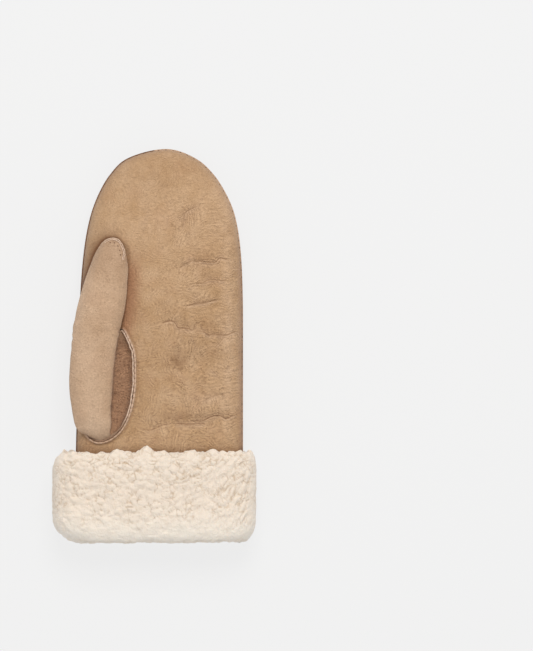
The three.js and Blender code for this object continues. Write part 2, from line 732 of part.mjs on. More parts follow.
// A sleeve that follows the leather body at height y, moved out by side and face.
function bodySleeve(y, { side, face }) {
  return sleeveSection({
    left: outlineAtHeight(y, "left").x - side,
    right: outlineAtHeight(y, "right").x + side,
    bottom: columnAt(LEVELS, "back", y) - face,
    top: columnAt(LEVELS, "palm", y) + face,
    seam: columnAt(LEVELS, "seam", y),
    topRadius: PALM_ROUND.radius + face,
    bottomRadius: BACK_ROUND.radius + face,
  });
}

// Points of the section at a layer of the cuff, blended between the two sleeves around it.
function cuffLoop(layer, y) {
  const sleeves = [
    () => bodySleeve(y, SLEEVES.hollow),
    () => bodySleeve(y, SLEEVES.leather),
    () => bodySleeve(y, SLEEVES.wool),
    () => sleeveSection(CUFF_OUTER),
  ];
  const low = clamp(Math.floor(layer), 0, 2);
  const inner = sleeves[low]();
  const outer = sleeves[low + 1]();
  const share = layer - low;
  const between = (p, q) => new THREE.Vector3(lerp(p.x, q.x, share), y, lerp(p.z, q.z, share));
  return inner.map((p, i) => between(p, outer[i]));
}

function loftLoops(loops) {
  const surface = new Surface();
  surface.grid(loops, true, true);
  const made = surface.solid();
  return made.volume() < 0 ? surface.flip().solid() : made;
}

function makeCuffSkin() {
  const loopAt = (y, sleeve) => bodySleeve(y, sleeve).map((p) => new THREE.Vector3(p.x, y, p.z));
  const loopsOf = (sleeve) => SKIN_HEIGHTS.map((y) => loopAt(y, sleeve));
  return loftLoops([...loopsOf(SLEEVES.skinOutside), ...loopsOf(SLEEVES.skinInside).reverse()]);
}

// Level of the wool's underside on the back of the cuff, along its outer profile.
function cuffUnderside(y) {
  const outside = CUFF_PROFILE.filter((p) => p.layer >= 2.4 && p.y >= -118);
  const i = clamp(outside.findIndex((p) => p.y < y), 1, outside.length - 1);
  const share = clamp((outside[i - 1].y - y) / (outside[i - 1].y - outside[i].y), 0, 1);
  const layer = lerp(outside[i - 1].layer, outside[i].layer, share);
  const skin = columnAt(LEVELS, "back", y) - SLEEVES.wool.face;
  return lerp(skin, 0, layer - 2);
}

function strapSolid(grow) {
  const rows = [];
  const half = STRAP_WIDTH / 2 + grow;
  for (let i = 0; i <= STRAP_STEPS; i += 1) {
    const share = i / STRAP_STEPS;
    const end = i === 0 ? grow : i === STRAP_STEPS ? -grow : 0;
    const y = lerp(STRAP.y0, STRAP.y1, share) + end;
    const x = lerp(STRAP.x0, STRAP.x1, share);
    const z = cuffUnderside(lerp(STRAP.y0, STRAP.y1, share)) + STRAP.lift;
    const low = grow > 0 ? z - STRAP.slotDepth : z;
    const high = z + STRAP_THICK + grow;
    rows.push([
      new THREE.Vector3(x - half, y, low),
      new THREE.Vector3(x + half, y, low),
      new THREE.Vector3(x + half, y, high),
      new THREE.Vector3(x - half, y, high),
    ]);
  }
  const surface = new Surface();
  const ids = surface.grid(rows, true);
  const [a, b, c, d] = ids[0];
  const [e, f, g, h] = ids[STRAP_STEPS];
  for (const face of [[a, c, b], [a, d, c], [e, f, g], [e, g, h]]) surface.triangle(...face);
  const made = surface.solid();
  return made.volume() < 0 ? surface.flip().solid() : made;
}

function makeCuffWool() {
  return loftLoops(CUFF_PROFILE.map(({ layer, y }) => cuffLoop(layer, y))).subtract(strapSolid(GAP));
}

function meshOf(name, solid, colour, roughness, metalness = 0) {
  const material = new THREE.MeshStandardMaterial({ color: colour, roughness, metalness });
  const mesh = new THREE.Mesh(geometryOf(solid), material);
  mesh.name = name;
  return mesh;
}

const linings = makeLinings();

const mitten = new THREE.Group();
mitten.add(
  meshOf("palm_panel", makePalm(), COLOURS.leather, 0.75),
  meshOf("back_panel", makeBack(), COLOURS.leather, 0.75),
  meshOf("thumb", makeThumb(), COLOURS.thumb, 0.8),
  meshOf("palm_lining", linings.palm, COLOURS.wool, 0.95),
  meshOf("back_lining", linings.back, COLOURS.wool, 0.95),
  meshOf("cuff_skin", makeCuffSkin(), COLOURS.leather, 0.8),
  meshOf("cuff_wool", makeCuffWool(), COLOURS.wool, 0.95),
  meshOf("bead_strap", strapSolid(0), COLOURS.metal, 0.35, 0.9),
);

export default mitten;
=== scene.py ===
"""Looks of a left-hand sheepskin mitten that lies palm up: leather hand, set-in thumb, thick wool cuff.

Shapes are worked out in millimetres on the frame's axes, and become metres when they are made meshes.
"""

import itertools
import logging
import math
from dataclasses import dataclass, field
from enum import Enum
from functools import cached_property
from typing import Callable, Sequence

import bpy
import numpy as np
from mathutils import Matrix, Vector
from mathutils.bvhtree import BVHTree
from mathutils.geometry import delaunay_2d_cdt


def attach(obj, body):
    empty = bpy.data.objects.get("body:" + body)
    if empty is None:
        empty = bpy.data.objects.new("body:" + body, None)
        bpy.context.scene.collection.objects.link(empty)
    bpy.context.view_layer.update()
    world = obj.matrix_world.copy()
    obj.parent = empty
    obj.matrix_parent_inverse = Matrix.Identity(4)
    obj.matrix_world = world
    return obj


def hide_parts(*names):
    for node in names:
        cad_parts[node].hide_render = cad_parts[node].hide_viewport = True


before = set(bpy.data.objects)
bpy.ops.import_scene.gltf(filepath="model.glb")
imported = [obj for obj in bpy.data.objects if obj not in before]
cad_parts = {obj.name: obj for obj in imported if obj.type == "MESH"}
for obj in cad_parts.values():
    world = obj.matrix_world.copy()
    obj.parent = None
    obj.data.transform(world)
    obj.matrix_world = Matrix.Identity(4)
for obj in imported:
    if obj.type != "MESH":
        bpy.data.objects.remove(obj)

Array = np.ndarray
Colour = tuple[float, float, float]
Socket = bpy.types.NodeSocket
Piece = bpy.types.Object
log = logging.getLogger("mitten")
METRES = 0.001
BODY = "root"


class Slot(Enum):
    """The record's material slots."""

    LEATHER = "leather"
    THUMB = "thumb_leather"
    LINING = "lining_wool"
    CUFF = "cuff_wool"
    BEADS = "beads"


class Face(Enum):
    """Which way a leather panel faces, as the sign of its outward level."""

    PALM = 1
    BACK = -1


def smooth_step(values: Array, low: float, high: float) -> Array:
    """0 below low, 1 above high and a smooth rise between."""
    t = np.clip((values - low) / (high - low), 0, 1)
    return t * t * (3 - 2 * t)


def bell(away: Array, width: float) -> Array:
    """1 where the distance is 0, and nearly 0 two widths away."""
    return np.exp(-((away / width) ** 2))


def puff(share: Array, power: float) -> Array:
    """Rises from 0 at an edge to 1 where the rounding ends, as a superellipse does."""
    return (1 - (1 - np.clip(share, 0, 1)) ** power) ** (1 / power)


def smooth_min(a: Array, b: Array, width: float) -> Array:
    """The lesser of two levels, with their crossing rounded over the width."""
    h = np.clip(0.5 + 0.5 * (b - a) / width, 0, 1)
    return b + (a - b) * h - width * h * (1 - h)


def between(a: float, b: float, share: float) -> float:
    """The value at a share of the way from one to the other."""
    return a + (b - a) * share


def hermite(t: Array, start: Array, leave: Array, end: Array, arrive: Array) -> Array:
    """A cubic from one value to another, with its slope at each end."""
    near = (2 * t**3 - 3 * t**2 + 1) * start + (t**3 - 2 * t**2 + t) * leave
    return near + (3 * t**2 - 2 * t**3) * end + (t**3 - t**2) * arrive


def unit(vectors: Array) -> Array:
    """Vectors brought to a length of 1."""
    return vectors / np.maximum(np.linalg.norm(vectors, axis=-1, keepdims=True), 1e-9)


def lengths(line: Array) -> Array:
    """How far along a line each of its points is."""
    return np.concatenate([[0], np.cumsum(np.linalg.norm(np.diff(line, axis=0), axis=1))])


def ring(loop: Array) -> Array:
    """A loop's points with the first one again at the end."""
    return np.concatenate([loop, loop[:1]])


def spatial(plan: Array, level: float = 0.0) -> Array:
    """Points of the plan as points in space, at one level."""
    return np.column_stack([plan, np.full(len(plan), level)])


def catmull(knots: Array, closed: bool, steps: int) -> Array:
    """A centripetal Catmull-Rom curve through points, or through whole rows of points.

    Args:
        knots: Points, or rows of points, in order.
        closed: Whether the last joins the first.
        steps: How many steps each stretch between knots takes.

    Returns:
        The curve's points or rows.
    """
    if closed:
        line = np.concatenate([knots[-1:], knots, knots[:2]])
    else:
        line = np.concatenate([2 * knots[:1] - knots[1:2], knots, 2 * knots[-1:] - knots[-2:-1]])
    gaps = np.linalg.norm(np.diff(line, axis=0), axis=-1)
    gaps = np.sqrt(np.maximum(gaps.reshape(len(gaps), -1).mean(axis=1), 1e-9))
    t = np.linspace(0, 1, steps, endpoint=False).reshape((-1,) + (1,) * (line.ndim - 1))
    parts = []
    for i in range(len(line) - 3):
        (a, b, c, d), (g0, g1, g2) = line[i : i + 4], gaps[i : i + 3]
        leave = ((b - a) / g0 - (c - a) / (g0 + g1) + (c - b) / g1) * g1
        arrive = ((c - b) / g1 - (d - b) / (g1 + g2) + (d - c) / g2) * g1
        parts.append(hermite(t, b, leave, c, arrive))
    return np.concatenate(parts if closed else [*parts, knots[-1:]])


def respace(line: Array, count: int, closed: bool = False) -> Array:
    """A line's points moved along it to equal steps.

    Args:
        line: The points.
        count: How many there are to be.
        closed: Whether the line closes; its end point is then left out.

    Returns:
        The new points.
    """
    line = ring(line) if closed else line
    along = lengths(line)
    wanted = np.linspace(0, along[-1], count, endpoint=not closed)
    return np.stack([np.interp(wanted, along, values) for values in line.T], axis=1)


def headed(spots: Array) -> Array:
    """Places in a row on the plan, each with the row's direction there."""
    return np.concatenate([spots, unit(np.gradient(spots, axis=0))], axis=1)


def line_distance(points: Array, line: Array) -> tuple[Array, Array]:
    """How far points are from a line, and how far along it the nearest place is.

    Args:
        points: Points in the plan.
        line: The line's points.

    Returns:
        Distances, and shares of the line's length from 0 to 1.
    """
    start, run, before = line[:-1], np.diff(line, axis=0), lengths(line)
    length = np.linalg.norm(run, axis=1)
    away, along = np.empty(len(points)), np.empty(len(points))
    block = 4096
    for i in range(0, len(points), block):
        offset = points[i : i + block, None, :] - start
        t = np.clip((offset * run).sum(-1) / np.maximum(length**2, 1e-12), 0, 1)
        apart = np.linalg.norm(offset - t[..., None] * run, axis=-1)
        best = apart.argmin(axis=1)
        rows = np.arange(len(best))
        away[i : i + block] = apart[rows, best]
        along[i : i + block] = before[best] + t[rows, best] * length[best]
    return away, along / before[-1]


def plan_normals(line: Array, closed: bool = False) -> Array:
    """Unit vectors to the right of a line in the plan, at each of its points."""
    run = np.roll(line, -1, axis=0) - np.roll(line, 1, axis=0) if closed else np.gradient(line, axis=0)
    return unit(run) @ np.array([(0, -1), (1, 0)])


def grid_normals(grid: Array, wrap: bool) -> Array:
    """Unit normals of a grid of points by row and station, whose rows may close."""
    over = np.roll(grid, -1, axis=1) - np.roll(grid, 1, axis=1) if wrap else np.gradient(grid, axis=1)
    return unit(np.cross(np.gradient(grid, axis=0), over))


@dataclass(frozen=True)
class Table:
    """Rows of millimetres under named columns, a line of the text for each row."""

    heads: str
    text: str

    @cached_property
    def rows(self) -> Array:
        """All the numbers."""
        return np.array([row.split() for row in self.text.strip().splitlines()], float)

    def line(self, *heads: str) -> Array:
        """Some of the columns side by side."""
        return self.rows[:, [self.heads.split().index(head) for head in heads]]

    def at(self, head: str, where: Array) -> Array:
        """Values between the rows, by a cubic that never passes the rows' own values.

        Args:
            head: The column to read.
            where: Places along the first column.

        Returns:
            The column's value at each place.
        """
        knots, values = self.rows[:, 0], self.line(head)[:, 0]
        slopes = np.diff(values) / np.diff(knots)
        before, after = slopes[:-1], slopes[1:]
        rising = before * after > 0
        tangents = np.zeros(len(values))
        tangents[1:-1][rising] = (2 * before * after)[rising] / (before + after)[rising]
        k = np.clip(np.searchsorted(knots, where, "right") - 1, 0, len(knots) - 2)
        span = knots[k + 1] - knots[k]
        t = np.clip((where - knots[k]) / span, 0, 1)
        return hermite(t, values[k], span * tangents[k], values[k + 1], span * tangents[k + 1])


OUTLINE = Table("y left right", """
    -126 -54.5 60.2
    -95 -54 60.2
    -55 -53 60.2
    0 -51.6 60.2
    32 -50.7 60.1
    60 -48.6 59
    79 -45.8 56.8
    93 -42.2 53.4
    106 -36.8 47.4
    117 -30 40
    127 -19.6 29
""")
LEVELS = Table("y seam palm back", """
    -126 21 34.1 8.1
    -69 21 34.1 8.1
    -45 19 33.2 5
    -20 16 32 1.2
    -5 14.6 31.2 0
    40 13.6 30 0
    134 13 27 0
""")
PALM_FOLDS = Table("x0 y0 x1 y1 width depth", """
    16 53 52 59 4.5 1.1
    24 30 44 30 4.5 0.8
    8 15 56 9.5 4.5 1
    12 -15 28 -12 8 1.2
    0 -55 56 -48 5 1.3
    40 -35 52 -35 4 0.6
    20 84 30 96 5 0.6
""")
BACK_FOLDS = Table("x0 y0 x1 y1 width depth", """
    8 -52 50 -40 4 1
    -30 -58 10 -60 4 0.6
""")
PALM_DENTS = Table("x y radius depth", """
    16 -10.5 7 0.9
    32.3 -9.5 5 0.6
    24 70 9 0.35
""")
# Patches on the palm, each with a darkness; a negative darkness lightens. The patches by the thumb's tip, in
# the dent and over the mitten's tip are painted shade; the other dark ones are stain patches.
PALM_STAINS_AND_SHADES = Table("x y wide high dark", """
    -5 110 14 9 0.12
    34 52 8 9 0.14
    8 28 6 5 0.12
    16 -10.5 6 6 0.42
    4 122 45 13 0.1
    10 -10 42 30 0.07
    28 10 8 9 0.14
    36 -4 12 5 0.12
    22 -48.5 24 3.5 0.3
    -36 66 6 9 0.2
    50 15 4.5 60 -0.3
    2 84 34 20 -0.18
    34 -37 20 6 -0.2
    48 88 7 24 -0.15
""")
HOLE_EDGE = Table("x y", """
    -22.4 11.6
    -17.2 3.4
    -14.2 -4.5
    -13.5 -18
    -14.1 -32
    -17.2 -46
    -22.4 -56.4
    -30.5 -63.4
    -38.2 -65.2
    -44 -62.4
    -46.6 -56.6
    -45.4 -46
    -43.6 -30
    -41.2 -14
    -36.6 -1.5
    -30.2 7
""")
THUMB = Table("y sag left right top under valley seam", """
    -57 0 -46.6 -25.6 31.2 30 30.4 0
    -54.6 5.4 -51.2 -30.2 38 31.6 31 0
    -50 3.2 -53.9 -29 42 31.2 28.8 0
    -42 1 -55.9 -29.2 44 30.8 26.8 0
    -30 0 -57.2 -28.5 44.9 30.2 26.2 0
    -17 0 -57.3 -27.4 45.2 29.4 26.4 0
    -5.5 0 -56.8 -26.2 45.2 28.4 27 0
    2.5 0 -56.2 -24.9 45.1 27.4 28 0
    7.6 0 -55.7 -23.9 44.9 26.7 29.4 0
    12.6 0 -55 -22.9 44.7 26.1 0 -24.6
    21 0 -53.3 -20.9 44.4 25.7 0 -25.2
    33 0 -50.6 -18.9 43.7 25.6 0 -24.6
    44 0 -47 -18.1 42.9 25.6 0 -23.6
    53 0 -44 -17.8 41.9 25.7 0 -22.6
    60.5 0 -41.4 -19 40.7 26 0 -21.8
    66 0 -38.5 -20.1 39.3 26.8 0 -21.8
    70.2 0 -35.3 -22.1 37.3 28.6 0 -22.8
    72.6 0 -32.2 -24.2 35.2 31 0 -25.6
""")
THUMB_TIP_EDGE = Table("x y", """
    -33.7 70.1
    -31.5 71.6
    -28.5 72.2
    -25.2 71.2
    -22.9 68.8
    -21.5 65.4
    -20.9 61.5
    -21.4 58.4
""")
CUFF_PROFILE = Table("layer y", """
    2.04 -72.5
    2.1 -70.2
    2.4 -69
    2.72 -70.2
    2.92 -74
    3 -80
    3 -100
    3 -118
    2.93 -124
    2.7 -129.5
    2.3 -133
    1.7 -134
    0.9 -133.2
    0.35 -130.4
    0.06 -126
    0 -120
""")
CUFF_REACH = Table("down left right", """
    68.5 55 61
    70.7 59.5 64.3
    73 64 67
    77.5 68.3 69
    84.3 69.7 69.7
    118 69.7 69.7
    125.1 67.2 68.4
    129.5 62.5 66
    131.9 58.5 63.5
    134 53 58
""")
THUMB_SHADOW = np.concatenate([THUMB.line("left", "y"), THUMB.line("right", "y")[::-1]])


class Noise:
    """Seeded noise in space, worked out for many points at once."""

    def __init__(self, seed: int) -> None:
        """Keeps the seed that tells this noise from others."""
        self.seed = seed

    def hashed(self, cells: Array, channel: int = 0) -> Array:
        """Mixes the numbers of cells into random-looking ones.

        Args:
            cells: Whole numbers, three for each cell.
            channel: Which of a cell's own numbers is wanted.

        Returns:
            A number from 0 to 1 for each cell.
        """
        c = cells.astype(np.int64)
        key = (c[..., 0] * 73856093) ^ (c[..., 1] * 19349663) ^ (c[..., 2] * 83492791)
        key = key ^ (self.seed * 2654435761 + channel * 974634777)
        key = (key ^ (key >> 13)) * 1274126177
        return ((key ^ (key >> 16)) & 0xFFFFFF) / 0x1000000

    def value(self, points: Array, size: float | Sequence[float]) -> Array:
        """Smooth noise from -1 to 1.

        Args:
            points: Places, one row each.
            size: The patches' size, or one size for each axis.

        Returns:
            The noise at each place.
        """
        scaled = points / np.asarray(size, float)
        base = np.floor(scaled)
        part = scaled - base
        ease = part**3 * (part * (part * 6 - 15) + 10)
        total = np.zeros(len(points))
        for corner in itertools.product((0, 1), repeat=3):
            share = np.prod(np.where(np.array(corner) == 1, ease, 1 - ease), axis=1)
            total += share * self.hashed(base + corner)
        return 2 * total - 1

    def lumps(self, points: Array, size: Sequence[float]) -> tuple[Array, Array]:
        """Round lumps that lie over one another, each with its own height.

        Args:
            points: Places, one row each.
            size: The lumps' spacing on each axis.

        Returns:
            The lumps' height at each place, and how far the place is from a line where two meet.
        """
        scaled = points / np.asarray(size, float)
        base = np.floor(scaled)
        best, other = np.full(len(points), -9.0), np.full(len(points), -9.0)
        for corner in itertools.product((-1, 0, 1), repeat=3):
            cell = base + corner
            seed = cell + np.stack([self.hashed(cell, k) for k in (1, 2, 3)], axis=1)
            top = 0.5 * self.hashed(cell, 4) - ((scaled - seed) ** 2).sum(axis=1)
            other = np.maximum(other, np.minimum(best, top))
            best = np.maximum(best, top)
        return best, best - other


@dataclass(frozen=True)
class MittenForm:
    """The mitten's form that all of its pieces share, in millimetres."""

    length: float = 268.0
    cuff_width: float = 139.4
    cuff_thick: float = 45.4
    cuff_middle: float = 22.0
    cuff_corners: tuple[float, float] = (23.0, 20.0)
    leather: float = 1.5
    gap: float = 0.3
    pile_inside: float = 4.6
    flange: float = 1.8
    rim: float = 0.8
    palm_round: tuple[float, float] = (25.0, 2.2)
    back_round: tuple[float, float] = (17.0, 2.4)
    bed_start: tuple[float, float, float] = (-39.0, 13.0, 18.5)
    bed_end: tuple[float, float, float] = (-28.8, 61.5, 13.6)
    bed_floor: float = 24.4
    bed_lift: float = 9.5
    bed_slope: float = 14.0
    bed_blend: float = 2.4
    sleeve_power: float = 2.5

    @property
    def hem(self) -> float:
        """Where the leather ends inside the cuff."""
        return -self.length / 2 + 8

    @cached_property
    def outline(self) -> Array:
        """The outer seam in the plan.

        Returns:
            Its points, up the left side, over the tip and down the right.
        """
        tip = np.array([[9.0, self.length / 2]])
        knots = np.concatenate([OUTLINE.line("left", "y"), tip, OUTLINE.line("right", "y")[::-1]])
        return catmull(knots, closed=False, steps=20)

    @cached_property
    def hole(self) -> Array:
        """The thumb hole's edge, from the crotch down the side that shows and up the hidden one."""
        return respace(catmull(HOLE_EDGE.rows, closed=True, steps=24), 256, closed=True)

    def hole_loop(self, inset: float) -> Array:
        """The hole's edge moved inwards."""
        return self.hole + plan_normals(self.hole, closed=True) * inset

    def by_hole(self, plan: Array) -> tuple[Array, Array]:
        """Distance from the hole's edge, and the share along it."""
        return line_distance(plan, ring(self.hole))

    def sides_at(self, y: Array) -> list[Array]:
        """The outline's left and right places at each height."""
        top = self.outline[:, 1].argmax()
        return [np.interp(y, s[:, 1], s[:, 0]) for s in (self.outline[: top + 1], self.outline[top:][::-1])]

    def edge_distance(self, plan: Array) -> Array:
        """Distance from the outer seam."""
        return line_distance(plan, self.outline)[0]

    def rounding(self, face: Face) -> tuple[float, float]:
        """Over what width a panel curves down to its rim, and the curve's power."""
        return self.palm_round if face is Face.PALM else self.back_round

    def fold_depth(self, folds: Table, plan: Array) -> Array:
        """How deep the main folds are at points of the plan."""
        lines = ((line_distance(plan, row[:4].reshape(2, 2))[0], *row[4:]) for row in folds.rows)
        return sum(deep * bell(away, width) for away, width, deep in lines)

    def bed_level(self, plan: Array) -> Array:
        """The shallow bed in which the thumb lies on the palm.

        Args:
            plan: Points of the plan.

        Returns:
            The bed's level at each.
        """
        away, along = line_distance(plan, np.array([self.bed_start[:2], self.bed_end[:2]]))
        share = away / between(self.bed_start[2], self.bed_end[2], along)
        bowl = 1 - np.sqrt(1 - np.minimum(share, 1) ** 2)
        return self.bed_floor + self.bed_lift * bowl + self.bed_slope * np.maximum(0, share - 1)

    def panel_level(self, face: Face, plan: Array) -> Array:
        """The outer level of a panel.

        Args:
            face: The palm or the back.
            plan: Points of the plan.

        Returns:
            The level at each.
        """
        radius, power = self.rounding(face)
        share = puff((self.edge_distance(plan) - self.rim) / radius, power)
        seam, rise = LEVELS.at("seam", plan[:, 1]), self.leather + self.gap / 2
        if face is Face.PALM:
            height = LEVELS.at("palm", plan[:, 1]) - seam - rise - self.fold_depth(PALM_FOLDS, plan)
            return smooth_min(seam + rise + height * share, self.bed_level(plan), self.bed_blend)
        drop = seam - rise - LEVELS.at("back", plan[:, 1]) - self.fold_depth(BACK_FOLDS, plan)
        return seam - rise - drop * share

    def ring_offsets(self, face: Face) -> Array:
        """Where rings of points follow the rim's steep rounding in even steps.

        Args:
            face: The palm or the back.

        Returns:
            Distances from the outline.
        """
        radius, power = self.rounding(face)
        rounded = self.rim + radius * (1 - (1 - np.linspace(0.05, 0.5, 10) ** power) ** (1 / power))
        return np.concatenate([[0, 0.25, 0.5, self.rim], rounded])

    def sleeve(self, layer: Array, y: Array, stations: Array) -> Array:
        """Points of the cuff's nested sleeves.

        Args:
            layer: The layer of each row, from 0 at the hollow to 3 at the outside.
            y: The height of each row.
            stations: Places round the section, from 0 to 6, the same in every row.

        Returns:
            The points, by row and station.
        """
        pile = self.leather + 2 * self.gap + self.pile_inside
        skin = self.gap + 0.1 + self.leather + self.gap
        offsets = (
            (-self.flange - pile, -pile),
            (-self.flange - pile + self.pile_inside, -pile + self.pile_inside),
            (3 * self.gap + self.leather, skin),
        )
        (left, right), zero = self.sides_at(y), np.zeros(len(y))
        bottom, top, seam = (LEVELS.at(head, y) for head in ("back", "palm", "seam"))
        shapes = []
        for side, out in offsets:
            radii = self.palm_round[0] + out, self.back_round[0] + out
            sides, levels = (left - side, right + side), (bottom - out, top + out, seam)
            shapes.append(self.section(sides, levels, radii, stations))
        half = zero + self.cuff_width / 2
        levels = zero, zero + self.cuff_thick, zero + self.cuff_middle
        stack = np.stack([*shapes, self.section((-half, half), levels, self.cuff_corners, stations)])
        low = np.clip(np.floor(layer).astype(int), 0, 2)
        rows, share = np.arange(len(y)), (layer - low)[:, None, None]
        plane = stack[low, rows] * (1 - share) + stack[low + 1, rows] * share
        heights = np.broadcast_to(y[:, None, None], plane[..., :1].shape)
        return np.concatenate([plane[..., :1], heights, plane[..., 1:]], axis=-1)

    def section(
        self, sides: Sequence[Array], levels: Sequence[Array], radii: tuple[float, float], stations: Array
    ) -> Array:
        """One flattened round section for each row, from the left seam over the palm's side.

        Args:
            sides: The rows' left and right places.
            levels: Their lowest and highest levels, and those at which they are widest.
            radii: The widths of the upper and the lower corners.
            stations: Places round the section, from 0 to 6.

        Returns:
            Across and up places, by row and station.
        """
        left, right, bottom, top, seam = (values[:, None] for values in (*sides, *levels))
        part = np.minimum(stations.astype(int), 5)
        share = stations - part
        turn = np.where(np.isin(part, (2, 5)), 1 - share, share) * math.pi / 2
        run = 1 - np.maximum(np.cos(turn), 0) ** (2 / self.sleeve_power)
        rise = np.maximum(np.sin(turn), 0) ** (2 / self.sleeve_power)
        radius, level = np.where(part < 3, *radii), np.where(part < 3, top, bottom)
        corner = np.where(np.isin(part, (0, 5)), left + radius * run, right - radius * run)
        span = np.where(part == 1, share, 1 - share)
        flat = np.isin(part, (1, 4))
        x = np.where(flat, left + radius + (right - left - 2 * radius) * span, corner)
        return np.stack([x, np.where(flat, level, seam + (level - seam) * rise)], axis=-1)

    def even_stations(self, count: int) -> Array:
        """Places round the cuff's section that are evenly spaced on its outside.

        Args:
            count: How many there are to be.

        Returns:
            The places, from 0 to 6.
        """
        fine = np.linspace(0, 6, 2400, endpoint=False)
        along = lengths(ring(self.sleeve(np.array([3.0]), np.array([-100.0]), fine)[0]))
        return np.interp(np.linspace(0, along[-1], count, endpoint=False), along, np.append(fine, 6.0))


@dataclass
class Surface:
    """Points, the faces between them, and numbers at the points that a finish reads."""

    points: Array
    faces: list[Array]
    marks: dict[str, Array] = field(default_factory=dict)


def joined(*surfaces: Surface) -> Surface:
    """One surface that holds several.

    Args:
        *surfaces: Those to join; a mark that one of them lacks is 0 there.

    Returns:
        The whole.
    """
    names = dict.fromkeys(name for s in surfaces for name in s.marks)
    start, faces = 0, []
    for surface in surfaces:
        faces += [corners + start for corners in surface.faces]
        start += len(surface.points)
    marks = {n: np.concatenate([s.marks.get(n, np.zeros(len(s.points))) for s in surfaces]) for n in names}
    return Surface(np.concatenate([s.points for s in surfaces]), faces, marks)


def grid_faces(rows: int, stations: int, wrap: bool = False, wrap_rows: bool = False) -> Array:
    """Four-cornered faces between the points of a grid.

    Args:
        rows: How many rows it has.
        stations: How many points are in a row.
        wrap: Whether each row closes.
        wrap_rows: Whether the last row joins the first.

    Returns:
        The corners' numbers, four to a face.
    """
    j = np.arange(rows if wrap_rows else rows - 1)[:, None]
    i = np.arange(stations if wrap else stations - 1)[None, :]
    here, above, beside = j * stations, (j + 1) % rows * stations, (i + 1) % stations
    return np.stack([here + i, here + beside, above + beside, above + i], axis=-1).reshape(-1, 4)


def strand_faces(rows: int, sides: int, flip: bool = False) -> list[Array]:
    """Faces of a strand with closed ends.

    Args:
        rows: How many sections it has.
        sides: How many points are in a section.
        flip: Whether the sections run the other way round.

    Returns:
        The skin's faces, and a fan at each end.
    """
    fan = np.arange(1, sides - 1)
    first, last = np.stack([fan * 0, fan + 1, fan], axis=1), np.stack([fan * 0, fan, fan + 1], axis=1)
    if flip:
        first, last = last, first
    return [grid_faces(rows, sides, wrap=True), first, last + (rows - 1) * sides]


def bridge(first: Array, second: Array) -> Array:
    """Triangles between two lines of point numbers, which may be of different counts.

    Args:
        first: The line with more points.
        second: The line with fewer points.

    Returns:
        The corners' numbers, three to a face.
    """
    near = np.round(np.linspace(0, len(second) - 1, len(first))).astype(int)
    faces = [(first[i], first[i + 1], second[near[i]]) for i in range(len(first) - 1)]
    faces += [(first[i + 1], second[near[i + 1]], second[near[i]]) for i in np.flatnonzero(np.diff(near))]
    return np.array(faces)


def inside(points: Array, loop: Array) -> Array:
    """Which points of the plan lie inside a closed loop.

    Args:
        points: The points.
        loop: The loop's points.

    Returns:
        True for each point inside.
    """
    within = np.zeros(len(points), bool)
    for (x0, y0), (x1, y1) in zip(loop, np.roll(loop, -1, axis=0)):
        if y0 != y1:
            crossed = (points[:, 1] < y0) != (points[:, 1] < y1)
            within ^= crossed & (points[:, 0] < x0 + (points[:, 1] - y0) * (x1 - x0) / (y1 - y0))
    return within


def lay_sheet(border: Array, extra: Array, holes: Sequence[Array] = ()) -> tuple[Array, Array]:
    """Covers the plan inside a border with triangles.

    Args:
        border: The border's points, as a closed loop.
        extra: More points inside it.
        holes: Closed loops that are left open.

    Returns:
        The points, those of the border and the holes first, and the triangles.
    """
    loops = [border, *holes]
    points = np.concatenate([*loops, extra])
    edges, start = [], 0
    for loop in loops:
        ids = start + np.arange(len(loop))
        edges.append(np.stack([ids, np.roll(ids, -1)], axis=1))
        start += len(loop)
    flat = [Vector(p) for p in points.tolist()]
    made = delaunay_2d_cdt(flat, np.concatenate(edges).tolist(), [], 1, 1e-6, True)
    faces = np.array([ids[0] for ids in made[3]])[np.array(made[2])]
    for hole in holes:
        faces = faces[~inside(points[faces].mean(axis=1), hole)]
    a, b, c = (points[faces[:, k]] for k in range(3))
    turned = np.cross(b - a, c - a) < 0
    faces[turned] = faces[turned][:, ::-1]
    return points, faces


def shell(
    outer: tuple[Array, Array], inner: tuple[Array, Array], loops: Sequence[Array], face: Face
) -> tuple[Array, list[Array]]:
    """Joins an outer and an inner sheet along their edges.

    Args:
        outer: The outer sheet's points and triangles.
        inner: The inner sheet's.
        loops: The edges, whose points come first in both.
        face: Which way the outer sheet faces.

    Returns:
        All the points, and the faces.
    """
    (points, faces), (points_in, faces_in) = outer, inner
    shift, start = len(points), 0
    blocks = [faces, faces_in[:, ::-1] + shift]
    for loop in loops:
        ids = np.append(start + np.arange(len(loop)), start)
        blocks.append(np.stack([ids[:-1], ids[:-1] + shift, ids[1:] + shift, ids[1:]], axis=1))
        start += len(loop)
    if face is Face.BACK:
        blocks = [block[:, ::-1] for block in blocks]
    return np.concatenate([points, points_in]), blocks


def lattice(low: Sequence[float], high: Sequence[float], step: float) -> Array:
    """Points of the plan in staggered rows.

    Args:
        low: The lower left corner.
        high: The upper right corner.
        step: How far the points are apart.

    Returns:
        The points.
    """
    x, y = np.meshgrid(np.arange(low[0], high[0], step), np.arange(low[1], high[1], step * 0.866))
    x[1::2] += step / 2
    return np.stack([x.ravel(), y.ravel()], axis=1)


def tube(path: Array, radius: Array, sides: int) -> Surface:
    """A round strand along a path.

    Args:
        path: The centreline's points.
        radius: The strand's radius at each of them.
        sides: How many sides the strand has.

    Returns:
        The strand.
    """
    run = unit(np.gradient(path, axis=0))
    side = np.cross(run, (0.0, 0.0, 1.0))
    side = unit(side + np.where(np.linalg.norm(side, axis=1, keepdims=True) < 0.05, (1.0, 0.0, 0.0), 0.0))
    up = np.cross(side, run)
    turn = np.linspace(0, 2 * math.pi, sides, endpoint=False)[:, None]
    hoop = side[:, None] * np.cos(turn) + up[:, None] * np.sin(turn)
    points = path[:, None] + hoop * radius[:, None, None]
    return Surface(points.reshape(-1, 3), strand_faces(len(path), sides))


